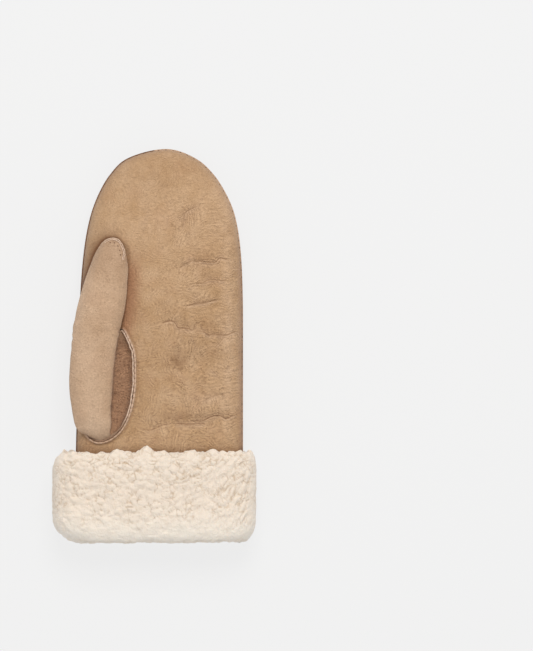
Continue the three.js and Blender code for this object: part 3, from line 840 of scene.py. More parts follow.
class Graph:
    """Builds a material's nodes."""

    def __init__(self, name: str) -> None:
        """Starts an empty material."""
        self.material = bpy.data.materials.new(name)
        self.material.use_nodes = True
        self.tree = self.material.node_tree
        self.tree.nodes.clear()

    def add(self, kind: str, inputs: dict | None = None, **settings: object) -> bpy.types.Node:
        """Adds a node.

        Args:
            kind: The node's type, without its ShaderNode prefix.
            inputs: Values or sockets for its inputs, by name or number.
            **settings: Its own settings.

        Returns:
            The node.
        """
        node = self.tree.nodes.new("ShaderNode" + kind)
        for name, value in settings.items():
            setattr(node, name, value)
        for key, value in (inputs or {}).items():
            if isinstance(value, Socket):
                self.tree.links.new(value, node.inputs[key])
            elif isinstance(value, tuple) and node.inputs[key].type == "RGBA":
                node.inputs[key].default_value = (*value, 1.0)
            else:
                node.inputs[key].default_value = value
        return node

    def place(self) -> Socket:
        """The place on the object, in metres."""
        return self.add("TexCoord").outputs["Object"]

    def noise(
        self, scale: float, detail: float = 2, stretch: Sequence[float] = (1, 1, 1), swirl: float = 0
    ) -> Socket:
        """Noise from 0 to 1.

        Args:
            scale: One metre over the features' size.
            detail: How much finer noise is laid over it.
            stretch: How much closer its features are on each axis.
            swirl: How much it is swirled.

        Returns:
            Its socket.
        """
        moved = self.add("Mapping", {"Vector": self.place(), "Scale": stretch})
        inputs = {"Vector": moved.outputs[0], "Scale": scale, "Detail": detail}
        return self.add("TexNoise", inputs | {"Roughness": 0.55, "Distortion": swirl}).outputs[0]

    def wave(self, axis: str) -> Socket:
        """Wavy lines about two millimetres apart that follow one another along an axis."""
        inputs = {"Scale": 125.0, "Distortion": 26.0, "Detail": 3.0, "Detail Scale": 0.55}
        return self.add("TexWave", inputs | {"Vector": self.place()}, bands_direction=axis).outputs["Fac"]

    def mark(self, name: str) -> Socket:
        """A number that the piece's points carry."""
        return self.add("Attribute", attribute_name=name).outputs["Fac"]

    def sums(self, operation: str, a: object, b: object = 0.0, c: object = 0.0) -> Socket:
        """The result of one arithmetic step."""
        return self.add("Math", {0: a, 1: b, 2: c}, operation=operation).outputs[0]

    def span(self, value: Socket, low: float, high: float, to_low: float = 0, to_high: float = 1) -> Socket:
        """A value's stretch from low to high, spread over another one and held at its ends."""
        return self.add("MapRange", {"Value": value, 1: low, 2: high, 3: to_low, 4: to_high}).outputs[0]

    def blend(self, share: object, a: object, b: object, mode: str = "MIX") -> Socket:
        """Two colours blended."""
        return self.add("Mix", {0: share, 6: a, 7: b}, data_type="RGBA", blend_type=mode).outputs[2]

    def bump(self, height: Socket, strength: float, depth: float) -> Socket:
        """A normal for a fine relief of that depth in metres."""
        return self.add("Bump", {"Height": height, "Strength": strength, "Distance": depth}).outputs[0]

    def principled(self, inputs: dict) -> bpy.types.Material:
        """Ends the material with the usual shader."""
        return self.finish(self.add("BsdfPrincipled", inputs))

    def finish(self, shader: bpy.types.Node) -> bpy.types.Material:
        """Joins the shader to the output."""
        self.add("OutputMaterial", {"Surface": shader.outputs[0]})
        return self.material


def linear(red: float, green: float, blue: float) -> Colour:
    """A colour for a shader, from its red, green and blue on a screen, up to 255."""
    shares = (red / 255, green / 255, blue / 255)
    return tuple(s / 12.92 if s <= 0.04045 else ((s + 0.055) / 1.055) ** 2.4 for s in shares)


@dataclass(frozen=True)
class LeatherFinish:
    """Soft tanned sheepskin: mottled, with painted shade in its creases, wrinkle valleys and gaps and by its
    edges, painted highlights on lit sides, pale where it is cut.
    """

    name: str
    pale: Colour
    deep: Colour
    red: Colour
    # Colour of the painted shade in creases, wrinkle valleys, gaps and by the edges, and of darker stain
    # patches.
    stain_and_shade: Colour
    # Colour of the painted highlights.
    light: Colour
    cut: Colour = linear(206, 176, 154)
    roughness: float = 0.7

    def ripples(self, graph: Graph, wear: Socket) -> tuple[Socket, Socket]:
        """The skin's fine wrinkles, wavy in patches.

        Args:
            graph: The material's graph.
            wear: How strong the wrinkles' relief and their painted shade are at each place.

        Returns:
            The wrinkles from 0 in their valleys to 1, and how strong they are.
        """
        turn, level, upright = graph.mark("turn"), graph.wave("Y"), graph.wave("X")
        wavy = graph.sums("MULTIPLY_ADD", turn, graph.sums("SUBTRACT", upright, level), level)
        fine = graph.span(graph.noise(950, 2, (0.7, 1, 1), 0.8), 0.3, 0.7)
        patchy = graph.span(graph.noise(260), 0.4, 0.62, 0.15, 0.6)
        wear = graph.sums("MULTIPLY", wear, graph.span(graph.noise(230), 0.36, 0.62, 0.35, 1))
        return graph.sums("MULTIPLY_ADD", patchy, graph.sums("SUBTRACT", wavy, fine), fine), wear

    def material(self) -> bpy.types.Material:
        """Builds the material.

        Returns:
            The material.
        """
        graph = Graph(self.name)
        broad = graph.span(graph.noise(34, 3), 0.32, 0.68)
        patches = graph.span(graph.noise(130, 3), 0.3, 0.7)
        mottle = graph.sums("MULTIPLY_ADD", patches, 0.45, graph.sums("MULTIPLY", broad, 0.55))
        colour = graph.blend(mottle, self.deep, self.pale)
        rosy = graph.span(graph.noise(52, 2, (1, 1, 1.3)), 0.5, 0.8, 0, 0.25)
        colour = graph.blend(rosy, colour, self.red)
        # Reddish tone, which right of the thumb and in the gusset is painted shade.
        colour = graph.blend(graph.mark("blush"), colour, self.red)
        ripples, wear = self.ripples(graph, graph.mark("wear"))
        # Painted shade in the wrinkles' valleys.
        valleys = graph.sums("MULTIPLY", graph.span(ripples, 0.12, 0.47, 0.4, 0), wear)
        colour = graph.blend(valleys, colour, self.stain_and_shade)
        # Painted highlight where the light mark is set.
        colour = graph.blend(graph.mark("light"), colour, self.light)
        # Painted highlight on the wrinkles' ridges, and a fine random tone.
        tone = graph.sums("MULTIPLY_ADD", wear, graph.span(ripples, 0.45, 0.85, 0, 0.2), 1.0)
        tone = graph.sums("ADD", tone, graph.span(graph.noise(1000, 3), 0.35, 0.65, 0.07, -0.07))
        colour = graph.blend(1.0, colour, tone, "MULTIPLY")
        # Painted shade in creases, gaps and by the edges, together with darker stain patches.
        dark = graph.sums("MULTIPLY", graph.mark("crease"), 0.75)
        colour = graph.blend(graph.sums("MAXIMUM", dark, graph.mark("edge")), colour, self.stain_and_shade)
        fibres = graph.span(graph.noise(900), 0.35, 0.65, 0.6, 1.0)
        colour = graph.blend(graph.sums("MULTIPLY", graph.mark("raw"), fibres), colour, self.cut)
        grain = graph.sums("ADD", graph.sums("MULTIPLY", ripples, wear), graph.noise(1500, 3))
        return graph.principled({
            "Base Color": colour,
            "Roughness": self.roughness,
            "Specular IOR Level": 0.32,
            "Sheen Weight": 0.12,
            "Sheen Roughness": 0.5,
            "Normal": graph.bump(grain, 0.7, 0.0008),
        })


@dataclass(frozen=True)
class WoolFinish:
    """Cream sheep's wool, darker and yellower between its curls: partly the wool's own colour, partly painted
    shade.
    """

    name: str
    tips: Colour
    depths: Colour
    # A paler cream, laid on where the light mark is set.
    paler: Colour = linear(241, 233, 221)
    roughness: float = 0.95

    def material(self) -> bpy.types.Material:
        """Builds the material.

        Returns:
            The material.
        """
        graph = Graph(self.name)
        soft = graph.span(graph.noise(45), 0.3, 0.7, -0.1, 0.1)
        fibres = graph.span(graph.noise(1300, 3), 0.3, 0.7, -0.12, 0.12)
        height = graph.sums("ADD", graph.sums("ADD", graph.mark("pile_tone_and_shade"), soft), fibres)
        colour = graph.blend(graph.span(height, 0.0, 0.85), self.depths, self.tips)
        # Paler where the light mark is set.
        colour = graph.blend(graph.mark("light"), colour, self.paler)
        return graph.principled({
            "Base Color": colour,
            "Roughness": self.roughness,
            "Specular IOR Level": 0.15,
            "Subsurface Weight": 0.25,
            "Subsurface Radius": (1.0, 0.85, 0.7),
            "Subsurface Scale": 0.0018,
            "Sheen Weight": 0.2,
            "Sheen Roughness": 0.6,
            "Normal": graph.bump(graph.noise(900, 4), 0.8, 0.0012),
        })


@dataclass(frozen=True)
class PlainFinish:
    """One colour with faint unevenness, for thread and beads."""

    name: str
    colour: Colour
    shade: Colour
    roughness: float
    metallic: float = 0.0

    def material(self) -> bpy.types.Material:
        """Builds the material.

        Returns:
            The material.
        """
        graph = Graph(self.name)
        patches = graph.span(graph.noise(700), 0.35, 0.65)
        colour = graph.blend(patches, self.shade, self.colour)
        inputs = {"Base Color": colour, "Roughness": self.roughness, "Metallic": self.metallic}
        return graph.principled(inputs)


LEATHER = LeatherFinish(
    "leather", pale=linear(189, 156, 122), deep=linear(170, 134, 96), red=linear(158, 114, 82),
    stain_and_shade=linear(112, 74, 44), light=linear(210, 178, 148),
)
THUMB_LEATHER = LeatherFinish(
    "thumb_leather", pale=linear(191, 160, 131), deep=linear(174, 142, 112), red=linear(160, 118, 88),
    stain_and_shade=linear(116, 80, 54), light=linear(208, 180, 153), cut=linear(216, 189, 168),
)
CUFF_WOOL = WoolFinish("cuff_wool", tips=linear(231, 217, 201), depths=linear(196, 171, 142))
LINING_WOOL = WoolFinish("lining_wool", tips=linear(238, 226, 210), depths=linear(208, 187, 162))
THREAD = PlainFinish("thread", linear(120, 88, 66), linear(96, 68, 50), 0.8)
METAL = PlainFinish("bead_metal", linear(176, 168, 160), linear(140, 132, 125), 0.25, 1.0)
WEBBING = PlainFinish("webbing", linear(120, 108, 98), linear(92, 82, 74), 0.85)


def make_piece(name: str, surface: Surface, material: bpy.types.Material, slot: Slot, *nodes: str) -> Piece:
    """Makes a surface an object that rides on the part.

    Args:
        name: The piece's name.
        surface: Its shape, in millimetres.
        material: Its finish.
        slot: Not used.
        *nodes: CAD nodes that it stands for.

    Returns:
        The object.
    """
    mesh = bpy.data.meshes.new(name)
    corners = [face for block in surface.faces for face in block.tolist()]
    mesh.from_pydata((surface.points * METRES).tolist(), [], corners)
    for mark, values in surface.marks.items():
        mesh.attributes.new(mark, "FLOAT", "POINT").data.foreach_set("value", values.astype(np.float32))
    mesh.shade_smooth()
    mesh.materials.append(material)
    piece = bpy.data.objects.new(name, mesh)
    bpy.context.scene.collection.objects.link(piece)
    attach(piece, BODY)
    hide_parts(*nodes)
    return piece


@dataclass(frozen=True)
class CreaseSet:
    """Fine creases that long use has put in the leather; a line of the text is a depth, a width and a route.
    """

    text: str
    seed: int
    wander: float = 0.35
    strong: float = 0.4

    @cached_property
    def creases(self) -> list[tuple[float, float, Array]]:
        """The text's creases, smoothed and slightly unsteady.

        Returns:
            Each one's depth, width and line.
        """
        noise, made = Noise(self.seed), []
        for number, row in enumerate(self.text.strip().splitlines()):
            depth, width, *route = map(float, row.split())
            line = catmull(np.reshape(route, (-1, 2)), closed=False, steps=12)
            line = respace(line, max(6, int(lengths(line)[-1] / 0.6)))
            sway = noise.value(spatial(line, 17.0 * number), 4.5) * self.wander
            made.append((depth, width, line + plan_normals(line) * sway[:, None]))
        return made

    @cached_property
    def strands(self) -> list[tuple[float, float, Array]]:
        """The creases and the weaker ones that run beside them.

        Returns:
            Each one's depth, width and line.
        """
        noise, strands = Noise(self.seed + 9), []
        for number, (depth, width, line) in enumerate(self.creases):
            strands.append((depth, width, line))
            for side in (-2.7, -1.35, 1.25, 2.5) if depth > 0.2 else (-1.3, 1.3):
                spot = spatial(line, 31.0 * number + side)
                shift = side * (1 + 0.35 * noise.value(spot, 7.0)) + 0.3 * noise.value(spot, 2.6)
                first, last = np.sort(noise.hashed(np.array([[number, int(side * 9), k] for k in (1, 2)])))
                part = slice(int(first * 0.4 * len(line)), int((0.6 + last * 0.4) * len(line)))
                if len(line[part]) > 5:
                    beside = (line + plan_normals(line) * shift[:, None])[part]
                    strands.append((depth * 0.75 / abs(side), width * 0.9, beside))
        return strands

    def relief(self, plan: Array) -> tuple[Array, Array, Array]:
        """The creases' relief, how far into a crease each place is, for painted shade, and how far onto its
        lit edge, for a painted highlight.

        Args:
            plan: Points of the plan.

        Returns:
            Heights in millimetres, and two marks from 0 to 1.
        """
        height, mark, lit = np.zeros((3, len(plan)))
        for depth, width, line in self.strands:
            low, high = line.min(axis=0) - 8 * width, line.max(axis=0) + 8 * width
            near = np.flatnonzero(((plan > low) & (plan < high)).all(axis=1))
            if not len(near):
                continue
            away, along = line_distance(plan[near], line)
            taper = smooth_step(np.minimum(along, 1 - along), -0.02, 0.2)
            shoulder = bell(away - 2.6 * width, 1.5 * width)
            height[near] += 0.8 * depth * taper * (0.3 * shoulder - bell(away, width))
            # Painted shade inside the crease, and a painted highlight just below it, where light from above
            # falls.
            share = 0.95 * min(1, depth / self.strong) * taper
            mark[near] = np.maximum(mark[near], share * bell(away, 0.8 * width))
            below = line_distance(plan[near] + (0, 2.3 * width), line)[0]
            lit[near] = np.maximum(lit[near], share * bell(below, width))
        return height, mark, lit

    def nearness(self, plan: Array) -> Array:
        """From 0 far from the creases to 1 beside a strong one."""
        near = ((depth, line_distance(plan, line[::4])[0]) for depth, _, line in self.creases)
        return np.max([min(1, depth / self.strong) * bell(away, 3.6) for depth, away in near], axis=0)

    def guides(self) -> Array:
        """Points along the creases that let a mesh follow them."""
        sides = itertools.product(self.creases, (0, 0.7, -0.7, 1.6, -1.6, 2.8, -2.8))
        return np.concatenate([line + plan_normals(line) * side * width for (_, width, line), side in sides])


PALM_CREASES = CreaseSet("""
    0.3 0.51  30.9 95.9  21.4 91.1  20.1 84.3  18.7 77.5
    0.18 0.48  28.2 94.5  18 87.7  17.3 80.2
    0.11 0.41  18.7 76.8  24.1 76.8  29.6 77.5
    0.09 0.34  33.3 72.1  36.4 73.4
    0.29 0.48  15.6 52.4  20.7 55.8  25.5 57.8  29.6 57.8
    0.43 0.51  25.5 56.1  29.6 57.5  37.7 57.1  41.8 57.1  44.5 59.5  49.3 58.5  51.3 57.1
    0.22 0.41  30.3 58.8  37.7 58.8  40.5 58.1
    0.18 0.41  52.7 53.7  55.4 53  58.8 52.4
    0.29 0.48  24.8 42.8  32.3 42.8  36.4 44.5  41.8 44.9  51.3 44.2
    0.16 0.41  20.1 39.4  25.5 40.1  31.6 41.1
    0.4 0.51  20.1 25.8  22.1 27.2  25.5 28.2  29.6 29.2  34.3 29.6  39.1 30.6  44.5 32
    0.18 0.41  25.5 31.3  28.2 33  30.3 34
    0.43 0.54  3.7 15  9.9 17  13.3 16.3  15.6 12.9  22.1 12.2  28.6 10.2
    0.43 0.54  28.6 10.2  33.3 9.5  37.1 7.5  39.8 8.2  44.5 7.5  49.3 7.5  54.1 9.5  58.8 10.2
    0.25 0.41  47.9 6.8  44.5 2.7  41.1 -1.4
    0.25 0.41  25.5 7.5  27.5 0.7  26.9 -4.1
    0.16 0.41  18 10.9  18.7 5.4  17.3 1.4
    0.22 0.41  38.1 -15  41.1 -18.4  44.5 -21.1
    0.18 0.41  45.9 -15.6  50 -15  55.4 -15.6
    0.25 0.48  33 -37.7  38.4 -34.7  43.2 -33  48.6 -33.3
    0.16 0.41  44.2 -41.1  48.6 -40.5  52.7 -40.8
    0.25 0.54  -9.2 -55.8  -3.7 -57.1  1.7 -55.5  5.8 -53.7  12.6 -52.7
    0.43 0.54  12.6 -52.7  19.4 -53  27.5 -53  31.6 -52.4  37.1 -53.7
    0.43 0.54  21.4 -51  33 -50.3  37.4 -48.3  44.2 -46.9  48.6 -49  54.1 -46.9  58.8 -47.3
    0.11 0.48  -1.7 103.4  -4.8 91.1  -8.5 72.1
    0.09 0.41  -5.8 102  -6.5 95.9  -7.8 89.8
    0.09 0.41  -3.1 38.1  1.7 38.8  7.1 38.1
    0.13 0.41  34.3 0.7  40.5 1.4  45.2 2.7
    0.1 0.34  39 20  46 21  54 20
    0.1 0.34  41 16  48 15.5  55 16.5
    0.1 0.34  42 12.5  49 12  54 12.8
""", seed=5)
BACK_CREASES = CreaseSet("""
    0.36 0.54  6.1 -49  15.6 -46.2  27.9 -42.2  39.4 -39.4
    0.25 0.54  0.7 -36.7  10.2 -38.1  21.1 -36
    0.22 0.48  12.9 -53.7  23.8 -51  32 -49.6
""", seed=8)
HOLE_LENGTH = 190.0
STITCH_STEP = 3.6
GROUND = 0.02


def notches(along: Array) -> Array:
    """Where a seam's stitches pull its edges in: 1 at a stitch, 0 between them."""
    return bell(along % STITCH_STEP - STITCH_STEP / 2, 0.5)


@dataclass(frozen=True)
class LeatherPanel:
    """One side of the mitten: a curved sheet with a flat sewn rim."""

    form: MittenForm
    face: Face
    creases: CreaseSet
    seed: int
    fine: float = 0.66
    coarse: float = 2.4
    rim_places: int = 4000
    rim_step: float = 0.16
    hidden_below: float = -76.0
    stitch_pitch: float = 5.0
    stitch_inset: float = 0.62
    wrinkle: float = 0.052
    stains_and_shades: Table | None = None
    undulations: tuple[tuple[float, float], ...] = ((26.0, 0.5), (11.0, 0.14), (4.5, 0.045))

    @cached_property
    def rim(self) -> Array:
        """The outer seam.

        Returns:
            Its points, close together where the cuff doesn't hide it.
        """
        line = respace(self.form.outline, self.rim_places)
        along = np.cumsum(self.rim_step / np.where(line[:, 1] > self.hidden_below, self.fine, self.coarse))
        return np.concatenate([line[np.flatnonzero(np.diff(np.floor(along), prepend=-1))], line[-1:]])

    @cached_property
    def border(self) -> Array:
        """The rim closed along the hem."""
        across = np.linspace(self.rim[-1, 0], self.rim[0, 0], 48)[1:-1]
        return np.concatenate([self.rim, np.stack([across, np.full(len(across), self.form.hem)], axis=1)])

    @cached_property
    def stitches(self) -> Array:
        """Where the outer seam's stitches are.

        Returns:
            Each one's place and direction in the plan.
        """
        line = self.form.outline + plan_normals(self.form.outline) * self.stitch_inset
        line = line[line[:, 1] > self.hidden_below + 6]
        return headed(respace(line, int(lengths(line)[-1] / self.stitch_pitch)))

    def holes(self) -> list[Array]:
        """Loops that are left open."""
        return []

    def interior(self, step: float) -> Array:
        """Points inside the rim.

        Args:
            step: How far they are apart where they show.

        Returns:
            The points.
        """
        offsets, normal = self.form.ring_offsets(self.face)[1:], plan_normals(self.rim)
        rings = [self.rim + normal * offset for offset in offsets]
        rings = [points[points[:, 1] > self.form.hem + 1.2] for points in rings]
        low, high = self.form.outline.min(axis=0), self.form.outline.max(axis=0)
        seen = lattice((low[0], self.hidden_below), high, step)
        hidden = lattice(low + (0, 2.0), (high[0], self.hidden_below - 1.0), self.coarse)
        points = np.concatenate([seen, hidden])
        points = points[inside(points, self.border)]
        points = points[self.form.edge_distance(points) > offsets[-1] + step * 0.4]
        return np.concatenate([*rings, points])

    def level(self, plan: Array) -> Array:
        """The smooth outer level."""
        return self.form.panel_level(self.face, plan)

    def wrinkles(self, flat: Array) -> tuple[Array, Array]:
        """Small wrinkles, which lie across the hand in some places and along it in others.

        Args:
            flat: Points of the plan, at level 0.

        Returns:
            Their height from about -1 to 1, and how far they are turned along the hand.
        """
        noise = Noise(self.seed)
        sway = np.stack([noise.value(flat + 60, 9.0), noise.value(flat + 70, 7.0) * 1.6, flat[:, 2]], axis=1)
        sizes = (3.2, 1.15, 1.0), (1.9, 0.8, 1.0), (1.2, 2.8, 1.0), (0.8, 1.7, 1.0)
        a, b, c, d = (noise.value(flat + sway + 15 + 10 * k, size) for k, size in enumerate(sizes))
        turn = smooth_step(noise.value(flat + 40, 13.0) - 0.009 * flat[:, 0], -0.25, 0.25)
        return between(a + 0.5 * b, c + 0.5 * d, turn), turn

    def pits(self, plan: Array, away: Array) -> Array:
        """How far each place is pulled in by a stitch of the outer seam.

        Args:
            plan: Points of the plan.
            away: Their distance from the seam.

        Returns:
            From 0 to about 1.
        """
        near, pits = np.flatnonzero(away < 4), np.zeros(len(plan))
        for x, y, run_x, run_y in self.stitches:
            offset = plan[near] - (x, y)
            pits[near] += bell(offset @ (run_x, run_y), 0.9) * bell(offset @ (run_y, -run_x), 0.4)
        return pits

    def relief(self, plan: Array) -> tuple[Array, dict[str, Array]]:
        """The relief over the smooth level.

        Args:
            plan: Points of the plan.

        Returns:
            Heights outwards, and the marks for the finish.
        """
        noise, away, flat = Noise(self.seed), self.form.edge_distance(plan), spatial(plan)
        x, y = plan.T
        height = sum(noise.value(flat + 7 * size, size) * deep for size, deep in self.undulations)
        height *= smooth_step(away, 1.5, 12)
        folds, crease, lit = self.creases.relief(plan)
        height += folds * smooth_step(away, 1.2, 4)
        height += noise.value(flat, 6.0) * 0.12 * (1 - smooth_step(away, 1.5, 4))
        height -= 0.3 * np.clip(1 - away / 0.35, 0, 1) ** 2
        wrinkles, turn = self.wrinkles(flat)
        lower = 1 - smooth_step(y, 85, 110)
        strength = 0.3 + 0.35 * smooth_step(x, -5, 22) * lower + 0.1 * lower
        strength = (strength + 0.5 * self.creases.nearness(plan)) * smooth_step(away, 1.0, 5)
        height += self.wrinkle * strength * wrinkles
        # Painted shade in the wrinkles' valleys and, below, in the stitches' pits.
        crease = np.maximum(crease, 0.3 * strength * np.clip(-wrinkles - 0.15, 0, 1))
        pits = self.pits(plan, away)
        height -= 0.25 * pits
        soft = noise.value(flat + 90, 12.0) * 1.2
        # Painted shade: a dark line along the seam, strongest on the left, a darkening within a few
        # millimetres of the outline, and hem, a painted shadow along the top of the wool cuff.
        shaded = np.where(x < 0, 0.95, 0.5 * (1 - smooth_step(y, 40, 90)))
        hem = 1 - smooth_step(y, -73.5, -65.5 + soft)
        marks = {
            "crease": np.clip(np.maximum(crease, 0.5 * pits), 0, 1),
            "edge": shaded * bell(away, 0.8) + 0.2 * np.exp(-away / (5 + soft)) + 0.5 * hem,
            "raw": 0.75 * (1 - shaded) * (1 - smooth_step(away, 0.3, 0.8)),
            "blush": 0.4 * bell(away - 1.6, 1.4) * (x > 0) * (1 - smooth_step(y, 45, 75)),
            # Painted highlight on the creases' lit sides.
            "light": 0.5 * lit,
            # How strong the wrinkles' relief and their painted shade are.
            "wear": 0.4 + 0.25 * (1 - smooth_step(y, -10, 30)) + strength * 0.75,
            "turn": turn,
        }
        # Stain patches and painted shade darken; rows with a negative darkness lighten.
        for middle_x, middle_y, wide, high, dark in self.stains_and_shades.rows if self.stains_and_shades else ():
            patch = bell(x - middle_x, wide) * bell(y - middle_y, high) * (0.8 + 0.4 * noise.value(flat, 3.0))
            marks["edge" if dark > 0 else "light"] += abs(dark) * patch
        return height, marks

    def normals(self, plan: Array) -> Array:
        """The smooth level's normals.

        Args:
            plan: Points of the plan.

        Returns:
            A unit vector outwards for each point.
        """
        step = 0.05
        shifts = np.array([(step, 0), (0, step)])
        slopes = [(self.level(plan - shift) - self.level(plan + shift)) / (2 * step) for shift in shifts]
        return unit(np.stack([*slopes, np.ones(len(plan))], axis=1)) * self.face.value

    def guides(self) -> Array:
        """More points that the relief needs."""
        points = self.creases.guides()
        return points[self.form.edge_distance(points) > 4.6]

    def surface(self) -> Surface:
        """Builds the sheet.

        Returns:
            The outer face, the inner face and the cut edges between them.
        """
        holes = self.holes()
        plan, faces = lay_sheet(self.border, np.concatenate([self.interior(self.fine), self.guides()]), holes)
        height, marks = self.relief(plan)
        outer = np.column_stack([plan, np.maximum(self.level(plan) + height * self.face.value, GROUND)])
        lined = LeatherPanel.interior(self, self.coarse)
        for hole in holes:
            lined = lined[~inside(lined, hole)]
        plan_in, faces_in = lay_sheet(self.border, lined, holes)
        inner = np.column_stack([plan_in, self.level(plan_in)]) - self.normals(plan_in) * self.form.leather
        loops = [self.border, *holes]
        marks = {name: np.append(values, np.zeros(len(inner))) for name, values in marks.items()}
        marks["raw"][len(outer) : len(outer) + sum(map(len, loops))] = 0.9
        return Surface(*shell((outer, faces), (inner, faces_in), loops, self.face), marks)


@dataclass(frozen=True)
class PalmPanel(LeatherPanel):
    """The palm's sheet, whose raw edge stands up round the part of the thumb hole that shows."""

    lip_height: float = 1.9
    lip_thick: float = 1.25
    lip_end: float = 0.63
    lip_rings: tuple[float, ...] = (0.15, 0.45, 0.8, 1.05, 1.25, 1.45, 1.7, 2.05, 2.5)
    lip_reach: float = 2.9

    def holes(self) -> list[Array]:
        """The thumb hole."""
        return [self.form.hole]

    def lip_rise(self, along: Array) -> Array:
        """How far the raw edge stands up, at shares of the hole's edge."""
        share = along / self.lip_end
        return np.where(share < 1, puff(np.minimum(share * 9, (1 - share) * 4), 2), 0)

    def clear(self, points: Array) -> Array:
        """The points that are not by the hole."""
        return points[~inside(points, self.form.hole) & (self.form.by_hole(points)[0] > self.lip_reach)]

    def interior(self, step: float) -> Array:
        """Points inside the rim, with rings round the hole."""
        rings = [self.form.hole_loop(-offset) for offset in self.lip_rings]
        return np.concatenate([self.clear(super().interior(step)), *rings])

    def guides(self) -> Array:
        """Leaves out points that are by the hole."""
        return self.clear(super().guides())

    def relief(self, plan: Array) -> tuple[Array, dict[str, Array]]:
        """Adds the dents, the standing edge, painted shade by the edge's foot and painted shadow round the
        thumb.

        Args:
            plan: Points of the plan.

        Returns:
            Heights outwards, and the marks for the finish.
        """
        height, marks = super().relief(plan)
        x, y = plan.T
        for middle_x, middle_y, radius, depth in PALM_DENTS.rows:
            height -= depth * bell(x - middle_x, radius) * bell(y - middle_y, radius)
        away, along = self.form.by_hole(plan)
        pull = notches(along * HOLE_LENGTH)
        uneven = 1 + 0.25 * Noise(self.seed + 1).value(spatial(plan), 3.0)
        rise = self.lip_height * self.lip_rise(along) * uneven * (1 - 0.45 * pull)
        section = 1 - smooth_step(away, self.lip_thick - 0.35, self.lip_thick + 0.55)
        section *= 0.88 + 0.12 * smooth_step(away, 0.0, 0.35)
        shown = np.minimum(rise, 1)
        height = height * smooth_step(away, 3.0, 6.0) + rise * section - 0.25 * bell(away - 2.3, 0.6) * shown
        # Painted shade: on the palm's inner wall low in the hole, at the stitches and in the groove by the
        # lip's foot.
        wall = bell(away, 0.3) * smooth_step(-y, 42, 52)
        raw = shown * (1 - smooth_step(away, 0.9, 1.5)) * (1 - 0.6 * pull)
        marks["raw"] = np.maximum(marks["raw"], raw) * (1 - wall)
        creases = 0.8 * pull * bell(away, 0.7), 0.4 * bell(away - 2.4, 0.8), 0.95 * wall
        marks["crease"] = np.max([marks["crease"], *(shown * crease for crease in creases)], axis=0)
        # Painted shadow round the thumb: reddish to its right, dark round it and strongest on its left and at
        # its tip.
        thumb = line_distance(plan, THUMB_SHADOW)[0] * ~inside(plan, THUMB_SHADOW)
        right = smooth_step(x, -26, -20) * smooth_step(y, -2, 12) * (1 - smooth_step(y, 48, 68))
        marks["blush"] += 0.95 * (1 - smooth_step(thumb, 2, 13)) * right
        painted_thumb_shadow = 0.75 * np.exp(-thumb / 1.3) + 0.65 * np.exp(-thumb / 4.4)
        marks["edge"] += painted_thumb_shadow * (1 - 0.75 * smooth_step(x, -27, -21)) * smooth_step(y, -2, 14)
        return height, marks


